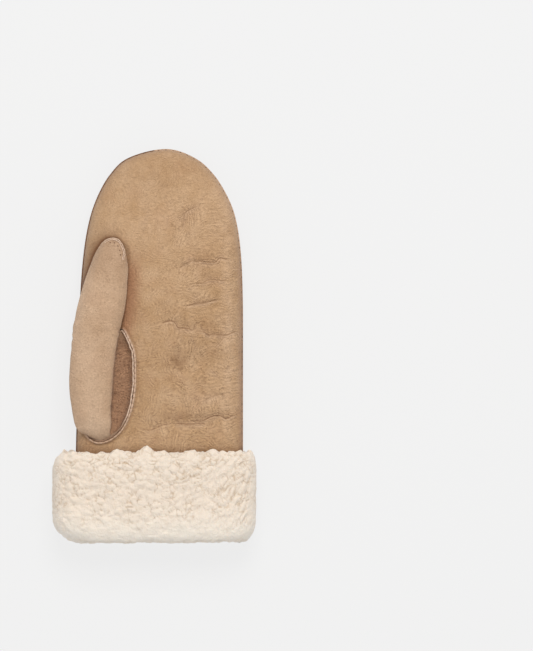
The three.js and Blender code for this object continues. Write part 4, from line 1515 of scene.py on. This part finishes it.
@dataclass(frozen=True)
class ThumbSheet:
    """The thumb's sheet with its gusset, sewn into the palm's hole."""

    form: MittenForm
    stations: int = 152
    steps: int = 13
    foot_inset: float = 0.4
    foot_drop: float = 1.3
    crotch_row: int = 9
    tip: tuple[float, float, float] = (-27.6, 73.5, 33.2)
    seed: int = 21

    def palm(self, x: float, y: float) -> float:
        """The palm's level at one place."""
        return float(self.form.panel_level(Face.PALM, np.array([[x, y]]))[0])

    def foot(self, y: float) -> tuple[float, float]:
        """Where the sheet's foot crosses a height.

        Args:
            y: The height.

        Returns:
            The left and the right place.
        """
        loop = self.form.hole_loop(self.foot_inset)
        after = np.roll(loop, -1, axis=0)
        crossed = (loop[:, 1] > y) != (after[:, 1] > y)
        a, b = loop[crossed], after[crossed]
        x = a[:, 0] + (y - a[:, 1]) / (b[:, 1] - a[:, 1]) * (b[:, 0] - a[:, 0])
        return float(x.min()), float(x.max())

    def guide(self, index: int) -> Array:
        """Guide points of one section, from its left end over the top to its right end.

        Args:
            index: The section's row in the thumb's table.

        Returns:
            The points.
        """
        y, _, left, right, top, under, valley, seam = THUMB.rows[index]
        width, middle, belly = right - left, (left + right) / 2, (under + top) / 2
        crown = [(left, belly), (left + width * 0.2, between(belly, top, 0.8)), (middle, top)]
        if index >= self.crotch_row:
            bottom = (seam, 1.3), (between(seam, middle, 0.55), 1.2), (between(middle, left, 0.45), 1.2)
            low = [(x, max(self.palm(x, y) + rise, under)) for x, rise in bottom]
            points = [
                *low,
                (between(middle, left, 0.87), between(under, belly, 0.42)),
                *crown,
                (right - width * 0.17, between(belly, top, 0.82)),
                (right, belly + 1),
                low[0],
            ]
        else:
            foot_left, foot_right = self.foot(y)
            rim, rim_right = self.palm(foot_left - 0.8, y), self.palm(foot_right + 0.8, y)
            points = [
                (foot_left, rim - self.foot_drop),
                (foot_left - 0.1, rim + 0.3),
                (foot_left - 1.8, max(rim + 1, under - 0.4)),
                (between(foot_left, left, 0.45), under),
                (between(foot_left, left, 0.85), between(under, belly, 0.42)),
                *crown,
                (right - width * 0.22, between(valley, top, 0.93)),
                (right - width * 0.05, between(valley, top, 0.78)),
                (right, between(valley, top, 0.58)),
                (right - 0.7, between(valley, top, 0.28)),
                (between(right, foot_right, 0.06), valley + 0.7),
                (between(right, foot_right, 0.35), valley),
                (between(right, foot_right, 0.72), valley + 0.1),
                (between(right, foot_right, 0.88), between(valley, rim_right, 0.4)),
                (foot_right, max(rim_right - 1.9, valley + 0.5)),
            ]
        return np.array([(x, y, z) for x, z in points])

    def first_row(self) -> Array:
        """The sheet's lowest edge.

        Returns:
            Its points, round the bottom of the hole.
        """
        y = THUMB.rows[0][0]
        left, right = self.foot(y)
        loop = self.form.hole_loop(self.foot_inset)[::4]
        loop = loop[loop[:, 1] < y]
        loop = np.concatenate([[(left, y)], loop[loop[:, 0].argsort()], [(right, y)]])
        level = self.form.panel_level(Face.PALM, loop) - self.foot_drop
        return respace(catmull(np.column_stack([loop, level]), False, 12), self.stations)

    @cached_property
    def grid(self) -> Array:
        """The smooth outer face.

        Returns:
            Its points by row and station, from the bottom of the hole to just below the tip.
        """
        rows, swing = [self.first_row()], np.sin(np.linspace(0, math.pi, self.stations))
        for index in range(1, len(THUMB.rows)):
            row = respace(catmull(self.guide(index), False, 16), self.stations)
            row[:, 1] -= THUMB.rows[index][1] * np.maximum(0, swing)
            rows.append(row)
        rows.append(np.tile(np.array(self.tip), (self.stations, 1)))
        return catmull(np.array(rows), closed=False, steps=self.steps)[:-1]

    def wrinkles(self, grid: Array, normal: Array) -> tuple[Array, dict[str, Array]]:
        """The sheet's relief.

        Args:
            grid: The smooth sheet's points.
            normal: Its normals.

        Returns:
            Heights outwards, and the marks for the finish.
        """
        noise, points = Noise(self.seed), grid.reshape(-1, 3)
        x, y, z = points.T
        across = np.tile(np.linspace(0, 1, grid.shape[1]), grid.shape[0])
        past_ridge = (normal[..., 2] < 0.3) & (across.reshape(grid.shape[:2]) > 0.5)
        deep = np.maximum.accumulate(past_ridge, axis=1).ravel() * (1 - smooth_step(y, -2, 16))
        pleats = noise.value(points, (5.0, 1.9, 5.0)) * deep * smooth_step(-y, -6, 6)
        bottom = 1 - smooth_step(y, -60, -44)
        height = noise.value(points, 15.0) * 0.4 + noise.value(points + 5, 6.0) * 0.12
        height += noise.value(points, (2.2, 9.0, 2.2)) * 0.05 + 0.25 * pleats
        height += 0.35 * noise.value(points, (1.7, 6.0, 6.0)) * bottom
        height *= smooth_step(np.minimum(across, 1 - across), 0.0, 0.03)
        # Painted shade: foot and gap darken the sheet along the hole's edge, most at the bottom, crotch at
        # the crotch, pleats in their valleys, and upper darkens the tip, which faces the light.
        seam = line_distance(points[:, :2], self.form.hole[::3])[0]
        corner = smooth_step(-y, 36, 50) * smooth_step(x, -40, -32)
        foot = bell(seam, 1.3 + 0.9 * corner) * (0.55 + 0.4 * corner) * (z < 36) * (y < 4) * (across > 0.08)
        gap = bell(seam, 1.0 + 0.8 * corner) * smooth_step(-y, 50, 57) * (z < 36)
        crotch = bell(x + 21.5, 4.5) * bell(y - 6, 7) * deep
        dark = 0.04 * deep + foot + 0.75 * crotch + 0.4 * np.clip(-pleats, 0, 1)
        upper = smooth_step(y, 40, 60)
        marks = {
            "crease": np.clip(dark, 0, 0.9),
            "edge": 0.16 * upper + gap,
            "raw": np.zeros(len(points)),
            # Painted shade in the gusset's valley, reddish, with stronger wrinkles there; the light mark is a
            # painted highlight down the thumb's middle and by its bottom.
            "blush": 0.75 * deep,
            "light": 0.25 * bell(across - 0.45, 0.12) * (1 - upper) + 0.35 * bottom * (1 - deep),
            "wear": 0.75 + 1.2 * deep,
            "turn": np.full(len(points), 0.5),
        }
        return height, marks

    def surface(self) -> Surface:
        """Builds the sheet.

        Returns:
            The outer face, the inner face and the cut edges between them.
        """
        grid = self.grid
        normal = grid_normals(grid, wrap=False)
        normal *= np.sign(normal[grid.shape[0] // 2, self.stations // 2, 2])
        height, marks = self.wrinkles(grid, normal)
        outer = grid + normal * height.reshape(grid.shape[:2])[..., None]
        rows = np.unique(np.append(np.arange(0, grid.shape[0], 4), grid.shape[0] - 1))
        columns = np.unique(np.append(np.arange(0, self.stations, 5), self.stations - 1))
        inner = (grid - normal * self.form.leather)[np.ix_(rows, columns)]
        count = outer.shape[0] * outer.shape[1]
        out_ids = np.arange(count).reshape(outer.shape[:2])
        in_ids = count + np.arange(len(rows) * len(columns)).reshape(len(rows), len(columns))
        tips = np.array([self.tip, (self.tip[0] - 0.2, self.tip[1] - self.form.leather, self.tip[2])])
        fans = [
            np.array([(a, b, count + in_ids.size + k) for a, b in zip(ids[-1][:-1], ids[-1][1:])])
            for k, ids in enumerate((out_ids, in_ids))
        ]
        faces = [
            grid_faces(*outer.shape[:2]),
            grid_faces(*inner.shape[:2])[:, ::-1] + count,
            fans[0],
            fans[1][:, ::-1],
            bridge(out_ids[0], in_ids[0]),
            bridge(out_ids[:, 0], in_ids[:, 0]),
            bridge(out_ids[:, -1], in_ids[:, -1]),
        ]
        points = np.concatenate([outer.reshape(-1, 3), inner.reshape(-1, 3), tips])
        marks = {name: np.append(v, np.zeros(len(points) - count)) for name, v in marks.items()}
        return Surface(points, faces, marks)


@dataclass(frozen=True)
class RawEdge:
    """A strip of cut leather that stands on a surface along a path."""

    thick: float = 1.2
    height: float = 2.2
    foot: float = 1.2
    waver: float = 0.3
    seed: int = 31
    shape: Table = Table("across up", """
        -1 -1
        -1 0.1
        -0.97 0.62
        -0.72 0.93
        -0.2 1
        0.35 0.99
        0.8 0.88
        1 0.55
        1 0.1
        1 -1
    """)

    def surface(self, path: Array, side: Array, up: Array, swell: Array) -> Surface:
        """Sweeps the strip.

        Args:
            path: The middle of its foot.
            side: Unit vectors across it.
            up: Unit vectors up from the surface.
            swell: How much of its height stands, from 0 to 1, at each point.

        Returns:
            The strip, closed.
        """
        noise, pull = Noise(self.seed), notches(lengths(path))
        top = self.height * swell * (1 + self.waver * noise.value(path, 2.6)) * (1 - 0.4 * pull)
        sway = noise.value(path + 40, 3.0) * 0.3
        rows = []
        for across, share in self.shape.rows:
            lift = np.where(share < 0, -self.foot, top * share)
            reach = across * self.thick / 2 + sway * (share > 0)
            rows.append(path + side * reach[:, None] + up * lift[:, None])
        stands = self.shape.rows[:, 1]
        raw = smooth_step(stands, 0.5, 0.95) * (1 - 0.35 * pull)[:, None]
        # Painted shade on the strip's lower sides.
        dark = np.tile(0.6 * (1 - smooth_step(stands, 0.2, 0.7)), len(path))
        faces = strand_faces(len(path), len(stands), flip=True)
        return Surface(np.stack(rows, axis=1).reshape(-1, 3), faces, {"raw": raw.ravel(), "crease": dark})


@dataclass(frozen=True)
class Drape:
    """Finds places on a sheet's outer face from above."""

    sheet: Surface
    above: float = 80.0
    missed: float = 30.0

    @cached_property
    def tree(self) -> BVHTree:
        """The sheet's outer face."""
        return BVHTree.FromPolygons(self.sheet.points.tolist(), self.sheet.faces[0].tolist())

    def hits(self, plan: Array) -> list[tuple[Vector | None, Vector | None]]:
        """The place and the normal straight below each point of the plan."""
        return [self.tree.ray_cast(Vector((x, y, self.above)), Vector((0, 0, -1)))[:2] for x, y in plan]

    def level(self, plan: Array) -> Array:
        """The sheet's level at each point of the plan."""
        return np.array([self.missed if place is None else place.z for place, _ in self.hits(plan)])


@dataclass(frozen=True)
class ThumbSeams:
    """The cut edges that show on the thumb: round the hole and round its tip."""

    form: MittenForm
    palm: PalmPanel
    lip: RawEdge = RawEdge(thick=1.1, height=1.9, foot=3.0)
    ridge: RawEdge = RawEdge(thick=0.75, height=0.9, foot=0.8, seed=36)

    @property
    def count(self) -> int:
        """How many points of the hole's edge the seam that shows takes."""
        return int(len(self.form.hole) * self.palm.lip_end)

    def base(self) -> Surface:
        """The thumb's cut edge round the hole.

        Returns:
            A strip that stands up beside the palm's edge.
        """
        shown = slice(self.count + 1)
        path = self.form.hole_loop(0.85)[shown]
        level = self.form.panel_level(Face.PALM, self.form.hole[shown])
        side = plan_normals(self.form.hole, closed=True)[shown]
        swell = self.palm.lip_rise(np.arange(len(path)) / len(self.form.hole))
        swell = swell * (1 - 0.8 * smooth_step(-path[:, 1], 46, 54))
        up = np.tile((0.0, 0.0, 1.0), (len(path), 1))
        edge = self.lip.surface(np.column_stack([path, level]), spatial(side), up, swell)
        # Painted shade on the strip's low end, in the gap by the thumb's bottom.
        low = smooth_step(-edge.points[:, 1], 46, 56)
        edge.marks["crease"] = np.maximum(edge.marks["crease"], 0.9 * low)
        edge.marks["raw"] *= 1 - 0.85 * low
        return edge

    def base_stitches(self) -> Array:
        """Where the thread shows between the two edges: place and direction in the plan."""
        line = self.form.hole_loop(0.12)[4 : self.count]
        return headed(respace(line, int(lengths(line)[-1] / STITCH_STEP * 2)))

    def tip_stitches(self) -> Array:
        """The five stitches inside the tip's edge."""
        line = catmull(THUMB_TIP_EDGE.rows, False, 12)
        return headed(respace(line + plan_normals(line) * 1.9, 7)[1:-1])

    def tip(self, drape: Drape) -> list[Surface]:
        """Two thin edges round the thumb's tip.

        Args:
            drape: The sheet that they are laid on.

        Returns:
            The edges.
        """
        line = respace(catmull(THUMB_TIP_EDGE.rows, False, 12), 120)
        strips = []
        for offset in (-0.5, 0.35):
            hits = [hit for hit in drape.hits(line + plan_normals(line) * offset) if hit[0] is not None]
            path, up = np.array([place for place, _ in hits]), np.array([normal for _, normal in hits])
            up = np.where(up[:, 2:] > 0, up, -up)
            side = unit(np.cross(up, unit(np.gradient(path, axis=0))))
            along = np.linspace(0, 1, len(path))
            swell = smooth_step(np.minimum(along, 1 - along), 0, 0.25)
            strips.append(self.ridge.surface(path, side, up, 0.35 + 0.65 * swell))
        return strips


@dataclass(frozen=True)
class Stitching:
    """Dashes of thread sunk along the seams."""

    length: float = 1.3
    radius: float = 0.2

    def dashes(self, spots: Array, level: Callable[[Array], Array], sink: float) -> Surface:
        """One dash at each spot.

        Args:
            spots: Places and directions in the plan.
            level: The leather's level at places in the plan.
            sink: How far the thread's middle lies over that level.

        Returns:
            All the dashes.
        """
        share = np.linspace(-0.5, 0.5, 7)
        body = self.radius * np.sqrt(np.maximum(0.06, 1 - (2 * share) ** 4))
        plans = [spot[:2] + share[:, None] * self.length * spot[2:] for spot in spots]
        return joined(*(tube(np.column_stack([plan, level(plan) + sink]), body, 6) for plan in plans))


@dataclass(frozen=True)
class LiningHalf:
    """The wool inside one of the hides: a shell that follows the leather and meets the other at the seam."""

    form: MittenForm
    face: Face
    seed: int
    end: float = -119.6
    step: float = 2.0
    room: float = 1.15
    hole_left: float = -41.0

    def border(self, inset: float) -> Array:
        """The plan's edge, moved in, and closed along the cuff's end.

        Args:
            inset: How far it is moved in.

        Returns:
            Its points.
        """
        line = self.form.outline + plan_normals(self.form.outline) * inset
        line = respace(line[line[:, 1] > self.end], 300)
        across = np.linspace(line[-1, 0], line[0, 0], 40)[1:-1]
        return np.concatenate([line, np.stack([across, np.full(len(across), line[0, 1])], axis=1)])

    def level(self, plan: Array, depth: float) -> Array:
        """The level of one of the wool's faces.

        Args:
            plan: Points of the plan.
            depth: How deep the face lies under the leather's outside.

        Returns:
            The level at each point.
        """
        radius, power = self.form.rounding(self.face)
        seam = LEVELS.at("seam", plan[:, 1]) + self.face.value * self.form.gap / 2
        side = self.form.flange + depth
        share = puff((self.form.edge_distance(plan) - side) / (radius - depth), power)
        outside = LEVELS.at("palm" if self.face is Face.PALM else "back", plan[:, 1])
        level = seam + (outside - self.face.value * (depth + self.room) - seam) * share
        if self.face is Face.BACK:
            return level
        return np.maximum(smooth_min(level, self.form.bed_level(plan) - depth, self.form.bed_blend), seam)

    def sheet(self, depth: float, holes: list[Array], border: Array) -> tuple[Array, Array]:
        """One of the wool's faces.

        Args:
            depth: How deep it lies under the leather's outside.
            holes: Loops that are left open.
            border: Its edge.

        Returns:
            Its points and triangles.
        """
        extra = lattice(border.min(axis=0), border.max(axis=0), self.step)
        extra = extra[inside(extra, border)]
        extra = extra[line_distance(extra, ring(border))[0] > self.step * 0.5]
        for hole in holes:
            extra = extra[~inside(extra, hole) & (line_distance(extra, ring(hole))[0] > self.step * 0.5)]
        plan, faces = lay_sheet(border, extra, holes)
        return np.column_stack([plan, self.level(plan, depth)]), faces

    def surface(self) -> Surface:
        """Builds the wool.

        Returns:
            Both of its faces and what joins them.
        """
        hole = np.maximum(self.form.hole[::3], (self.hole_left, -999.0))
        holes = [hole] if self.face is Face.PALM else []
        depths = self.form.leather + 2 * self.form.gap + np.array([0, self.form.pile_inside])
        borders = [self.border(self.form.flange + depth) for depth in depths]
        outer, (inner, faces_in) = (self.sheet(d, holes, border) for d, border in zip(depths, borders))
        noise = Noise(self.seed)
        pile = noise.value(inner, 5.0) * 0.7 + noise.value(inner, 2.4) * 0.35
        inwards = smooth_step(line_distance(inner[:, :2], ring(borders[1]))[0], 0, 5)
        inner[:, 2] -= self.face.value * (pile - 0.4) * inwards
        points, blocks = shell(outer, (inner, faces_in), [borders[0], *holes], self.face)
        return Surface(points, blocks, {"pile_tone_and_shade": 0.55 + 0.35 * noise.value(points, 2.4)})


@dataclass(frozen=True)
class CuffSkin:
    """The turned-up hide under the cuff's wool."""

    form: MittenForm
    layers: tuple[float, float] = (1.66, 1.93)
    top: float = -74.2
    stations: int = 160

    def surface(self) -> Surface:
        """Builds the hide.

        Returns:
            A closed sleeve.
        """
        heights = np.linspace(self.top, self.form.hem, 24)
        layer, y = np.repeat(self.layers[::-1], len(heights)), np.concatenate([heights, heights[::-1]])
        grid = self.form.sleeve(layer, y, self.form.even_stations(self.stations))
        zero = np.zeros(grid.shape[0] * grid.shape[1])
        faces = grid_faces(*grid.shape[:2], wrap=True, wrap_rows=True)
        return Surface(grid.reshape(-1, 3), [faces], {"raw": zero, "crease": zero, "edge": zero})


@dataclass(frozen=True)
class WoolCuff:
    """The thick wool cuff: a closed sleeve whose outside is worked into curly clumps."""

    form: MittenForm
    step: float = 0.8
    stations: int = 520
    inset: float = 0.5
    top_drop: float = 2.9
    smooth_below: float = -131.5
    smooth_above: float = -116.5
    hidden_rows: int = 18
    seed: int = 51

    @cached_property
    def rows(self) -> tuple[Array, Array]:
        """The rows of points, close together where they show.

        Returns:
            The layer and the height of each row.
        """
        even = (8.0, 1.0)
        smooth = respace(catmull(CUFF_PROFILE.rows * even, closed=False, steps=10), 600) / even
        along = lengths(self.form.sleeve(*smooth.T, np.array([1.5]))[:, 0])
        wanted = np.linspace(0, along[-1], int(along[-1] / self.step))
        shown = np.stack([np.interp(wanted, along, values) for values in smooth.T], axis=1)
        hidden = np.array([(0.96, -120.0), (0.96, -126.6), (1.5, -127.4), (2.04, -126.6)])
        back = np.stack([np.full(14, 2.04), np.linspace(-123, -75, 14)], axis=1)
        layer, y = np.concatenate([shown, hidden, back]).T
        return layer, y - self.top_drop * smooth_step(y, -82, -70)

    @cached_property
    def base(self) -> tuple[Array, Array]:
        """The smooth sleeve.

        Returns:
            Its points by row and station, and their outward normals.
        """
        layer, y = self.rows
        grid = self.form.sleeve(layer, y, self.form.even_stations(self.stations))
        x = grid[..., 0]
        left = np.minimum(1, CUFF_REACH.at("left", -y) / -x.min(axis=1))[:, None]
        right = np.minimum(1, CUFF_REACH.at("right", -y) / x.max(axis=1))[:, None]
        grid[..., 0] *= np.where(x < 0, left, right)
        normal = grid_normals(grid, wrap=True)
        row = int(np.argmin(np.abs(y[: -self.hidden_rows] + 100)))
        outwards = np.sign((normal[row, :, 2] * (grid[row, :, 2] - self.form.cuff_middle)).sum())
        return grid, normal * outwards

    def clumps(self, points: Array) -> tuple[Array, Array]:
        """The wool's curls.

        Args:
            points: Places on the smooth sleeve.

        Returns:
            Heights over it, and how far out of the clefts each place is, up to about 1.
        """
        noise, other = Noise(self.seed), Noise(self.seed + 1)
        moved = points + 1.7 * np.stack([noise.value(points + 100 * k, 5.5) for k in (1, 2, 3)], axis=1)
        moved[:, 1] -= 0.006 * np.maximum(points[:, 0] + 5, 0) ** 2
        big, gap = noise.lumps(moved, (5.4, 3.7, 4.4))
        small, cut = other.lumps(moved, (2.5, 2.0, 2.2))
        some = smooth_step(noise.value(points + 300, 6.0), -0.3, 0.35)
        few = smooth_step(other.value(points + 200, 4.0), -0.2, 0.4)
        cleft = (1 - smooth_step(gap, 0, 0.2)) * (0.2 + 0.8 * some)
        dip = (1 - smooth_step(cut, 0, 0.22)) * (0.15 + 0.85 * few)
        height = 1.5 * big + 0.55 * small - 0.55 * cleft - 0.25 * dip + 0.7 * noise.value(points + 300, 14.0)
        # The second value sets the painted shade in the clefts.
        return height, 0.96 - 0.6 * cleft - 0.35 * dip + 0.1 * noise.value(points, 1.3)

    def tufts(self, points: Array) -> Array:
        """How far the upper edge's tufts stand up, with the big one near its middle.

        Args:
            points: Places on the smooth sleeve.

        Returns:
            Heights over the edge.
        """
        squeezed = points * (1, 0.2, 1)
        tufts = Noise(self.seed + 2).value(squeezed, 4.5) + 0.3
        tufts += 0.5 * Noise(self.seed + 4).value(squeezed, 2.3)
        return tufts + 2.4 * np.exp(-(((points[:, 0] + 6.5) / 4.8) ** 4)) * smooth_step(points[:, 2], 25, 30)

    def surface(self) -> Surface:
        """Builds the wool.

        Returns:
            The sleeve with its clumps.
        """
        grid, normal = self.base
        points = grid.reshape(-1, 3)
        x, y, _ = points.T
        height, share = self.clumps(points)
        hidden = np.repeat(np.arange(grid.shape[0]) >= grid.shape[0] - self.hidden_rows, grid.shape[1])
        calm = y + 3 * Noise(self.seed + 3).value(points, 8.0)
        calm = smooth_step(calm, self.smooth_below, self.smooth_above)
        calm = np.maximum(calm, 0.8 * smooth_step(-normal[..., 1].ravel(), 0.75, 0.95))
        height *= (0.35 + 0.65 * calm) * (1 - 0.6 * smooth_step(np.abs(x), 61, 67)) * ~hidden
        share[hidden] = 0.4
        moved = points + normal.reshape(-1, 3) * (height - self.inset)[:, None]
        moved[:, 1] += 1.5 * self.tufts(points) * smooth_step(y, -77, -72) * ~hidden
        moved[:, 2] = np.maximum(moved[:, 2], 0.05)
        # Darker in the clefts, partly the wool's own colour and partly painted shade.
        pile_tone_and_shade = np.clip(share, 0, 1) * (0.6 + 0.4 * calm) + 0.34 * (1 - calm)
        # Paler towards the cuff's lower end.
        light = 0.8 * (1 - calm) + 0.35 * calm * smooth_step(-y, 104, 122)
        faces = grid_faces(*grid.shape[:2], wrap=True, wrap_rows=True)
        return Surface(moved, [faces], {"pile_tone_and_shade": pile_tone_and_shade, "light": light})


@dataclass(frozen=True)
class BeadStrap:
    """The strap of small metal balls on the back of the cuff."""

    form: MittenForm
    start: tuple[float, float] = (44.0, -72.5)
    end: tuple[float, float] = (40.5, -115.0)
    width: float = 10.0
    thick: float = 1.3
    lift: float = 0.25
    columns: int = 7
    rows: int = 30
    ball: float = 0.68
    turns: int = 10
    tilts: int = 5
    seed: int = 71

    def middle(self, share: Array) -> Array:
        """Points along the strap's middle, at its lower face, just under the wool.

        Args:
            share: Shares of the strap's length.

        Returns:
            The points.
        """
        x, y = (between(a, b, share) for a, b in zip(self.start, self.end))
        profile = CUFF_PROFILE.rows
        layers, heights = profile[(profile[:, 0] >= 2.4) & (profile[:, 1] >= -118)][::-1].T
        skin = LEVELS.at("back", y) - (self.form.leather + 2 * self.form.gap + 0.1)
        return np.stack([x, y, skin * (3 - np.interp(y, heights, layers)) + self.lift], axis=1)

    def band(self) -> Surface:
        """Builds the woven band.

        Returns:
            The strip that the balls are set in.
        """
        line = self.middle(np.linspace(0, 1, 40))
        half, low, high = self.width / 2, 0.55, self.thick - 0.15
        corners = (-half, low), (half, low), (half, high), (-half, high)
        grid = np.stack([line + (x, 0, z) for x, z in corners], axis=1)
        ends = np.array([(0, 1, 2, 3), (159, 158, 157, 156)])
        return Surface(grid.reshape(-1, 3), [grid_faces(40, 4, wrap=True), ends])

    def beads(self) -> Surface:
        """Builds the balls.

        Returns:
            All of them in one surface.
        """
        tilt = np.linspace(0, math.pi, self.tilts + 2)[1:-1, None]
        turn = np.linspace(0, 2 * math.pi, self.turns, endpoint=False)
        belt = [np.sin(tilt) * np.cos(turn), np.sin(tilt) * np.sin(turn), np.cos(tilt) + 0 * turn]
        ball = np.concatenate([np.stack(belt, axis=-1).reshape(-1, 3), [(0, 0, 1), (0, 0, -1)]]) * self.ball
        around = np.arange(self.turns)
        beside, top, last = (around + 1) % self.turns, len(ball) - 2, (self.tilts - 1) * self.turns
        caps = [(around, beside, around * 0 + top), (beside + last, around + last, around * 0 + top + 1)]
        caps = np.concatenate([np.stack(cap, axis=1) for cap in caps])
        rng, places = np.random.default_rng(self.seed), []
        for row in range(self.rows):
            middle = self.middle(np.array([(row + 0.5) / self.rows]))[0]
            for column in range(self.columns):
                x = (column - (self.columns - 1) / 2) * self.width / self.columns
                places.append(middle + (x, 0, self.ball) + rng.normal(size=3) * 0.05)
        places = np.array(places)
        places[:, 2] = np.maximum(places[:, 2], self.ball + 0.03)
        starts = (np.arange(len(places)) * len(ball))[:, None, None]
        body = grid_faces(self.tilts, self.turns, wrap=True)
        faces = [(body[None] + starts).reshape(-1, 4), (caps[None] + starts).reshape(-1, 3)]
        return Surface((places[:, None] + ball[None]).reshape(-1, 3), faces)


@dataclass(frozen=True)
class Studio:
    """The camera at the photograph's angle, a pale floor and soft light from above."""

    camera_place: tuple[float, float, float] = (0.0762, 0.0139, 7.398)
    lens: float = 600.0
    light_place: tuple[float, float, float] = (0.12, 0.8, 1.45)
    light_size: float = 0.8
    light_power: float = 16.0
    glow: float = 0.768
    sky: float = 0.72

    def build(self) -> None:
        """Puts everything in the scene."""
        camera = bpy.data.cameras.new("camera")
        camera.lens, camera.sensor_width, camera.clip_end = self.lens, 36.0, 50.0
        bpy.context.scene.camera = self.put("camera", camera, self.camera_place)
        lamp = bpy.data.lights.new("key", "AREA")
        lamp.shape, lamp.size, lamp.energy = "SQUARE", self.light_size, self.light_power
        lamp.color = (1.0, 0.985, 0.965)
        key = self.put("key", lamp, self.light_place)
        key.rotation_euler = (-Vector(self.light_place)).to_track_quat("-Z", "Y").to_euler()
        self.floor()
        world = bpy.data.worlds.new("studio")
        world.use_nodes = True
        sky = world.node_tree.nodes["Background"]
        sky.inputs["Color"].default_value = (1.0, 1.0, 1.0, 1.0)
        sky.inputs["Strength"].default_value = self.sky
        bpy.context.scene.world = world
        bpy.context.scene.view_settings.view_transform = "Standard"

    def put(self, name: str, data: bpy.types.ID, place: Sequence[float] = (0, 0, 0)) -> bpy.types.Object:
        """Puts an object in the scene.

        Args:
            name: Its name.
            data: What it shows.
            place: Where it stands.

        Returns:
            The object.
        """
        thing = bpy.data.objects.new(name, data)
        thing.location = place
        bpy.context.scene.collection.objects.link(thing)
        return thing

    def floor(self) -> None:
        """Adds a wide pale floor, which mostly glows by itself so that the shadow stays faint."""
        graph = Graph("floor")
        glow = graph.add("Emission", {"Color": (1.0, 1.0, 1.0), "Strength": self.glow})
        matt = graph.add("BsdfDiffuse", {"Color": (0.1, 0.1, 0.1)})
        both = graph.add("AddShader", {0: glow.outputs[0], 1: matt.outputs[0]})
        mesh = bpy.data.meshes.new("floor")
        far, low = 4.0, -0.0003
        corners = [(-far, -far, low), (far, -far, low), (far, far, low), (-far, far, low)]
        mesh.from_pydata(corners, [], [(0, 1, 2, 3)])
        mesh.materials.append(graph.finish(both))
        self.put("floor", mesh)


@dataclass(frozen=True)
class Mitten:
    """The whole mitten, sub-assembly by sub-assembly."""

    form: MittenForm = MittenForm()

    def leather(self) -> list[Piece]:
        """Builds the two panels, the thumb and the turned-up hide, with their stitches.

        Returns:
            The pieces.
        """
        palm = PalmPanel(self.form, Face.PALM, PALM_CREASES, seed=11, stains_and_shades=PALM_STAINS_AND_SHADES)
        back = LeatherPanel(self.form, Face.BACK, BACK_CREASES, seed=13)
        skin, thread = LEATHER.material(), THREAD.material()
        sheet, seams = ThumbSheet(self.form).surface(), ThumbSeams(self.form, palm)
        drape = Drape(sheet)
        thumb = joined(sheet, seams.base(), *seams.tip(drape))
        dashes = joined(
            Stitching(1.7, 0.3).dashes(seams.base_stitches(), palm.level, 1.2),
            Stitching(1.0, 0.32).dashes(seams.tip_stitches(), drape.level, 0.12),
        )
        palm_dashes, back_dashes = (
            Stitching().dashes(panel.stitches, panel.level, -0.2 * panel.face.value) for panel in (palm, back)
        )
        return [
            make_piece("palm_leather", palm.surface(), skin, Slot.LEATHER, "palm_panel"),
            make_piece("back_leather", back.surface(), skin, Slot.LEATHER, "back_panel"),
            make_piece("cuff_hide", CuffSkin(self.form).surface(), skin, Slot.LEATHER, "cuff_skin"),
            make_piece("thumb_leather", thumb, THUMB_LEATHER.material(), Slot.THUMB, "thumb"),
            make_piece("thumb_stitches", dashes, thread, Slot.THUMB),
            make_piece("palm_stitches", palm_dashes, thread, Slot.LEATHER),
            make_piece("back_stitches", back_dashes, thread, Slot.LEATHER),
        ]

    def lining(self) -> list[Piece]:
        """Builds the wool inside the two hides.

        Returns:
            The pieces.
        """
        palm, back = (LiningHalf(self.form, face, seed=41 + face.value).surface() for face in Face)
        wool = LINING_WOOL.material()
        return [
            make_piece("palm_wool", palm, wool, Slot.LINING, "palm_lining"),
            make_piece("back_wool", back, wool, Slot.LINING, "back_lining"),
        ]

    def cuff(self) -> list[Piece]:
        """Builds the wool cuff and its strap.

        Returns:
            The pieces.
        """
        wool, strap = WoolCuff(self.form).surface(), BeadStrap(self.form)
        fleece = make_piece("cuff_fleece", wool, CUFF_WOOL.material(), Slot.CUFF, "cuff_wool")
        beads = make_piece("strap_beads", strap.beads(), METAL.material(), Slot.BEADS, "bead_strap")
        return [fleece, beads, make_piece("strap_band", strap.band(), WEBBING.material(), Slot.BEADS)]


def main() -> None:
    """Builds the mitten and the studio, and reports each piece."""
    logging.basicConfig(level=logging.INFO, format="%(name)s: %(message)s")
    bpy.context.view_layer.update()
    mitten = Mitten()
    for build in (mitten.leather, mitten.lining, mitten.cuff):
        for piece in build():
            size = [round(side / METRES) for side in piece.dimensions]
            log.info("%s: %d faces, %s mm", piece.name, len(piece.data.polygons), size)
    Studio().build()


if __name__ == "__main__":
    main()
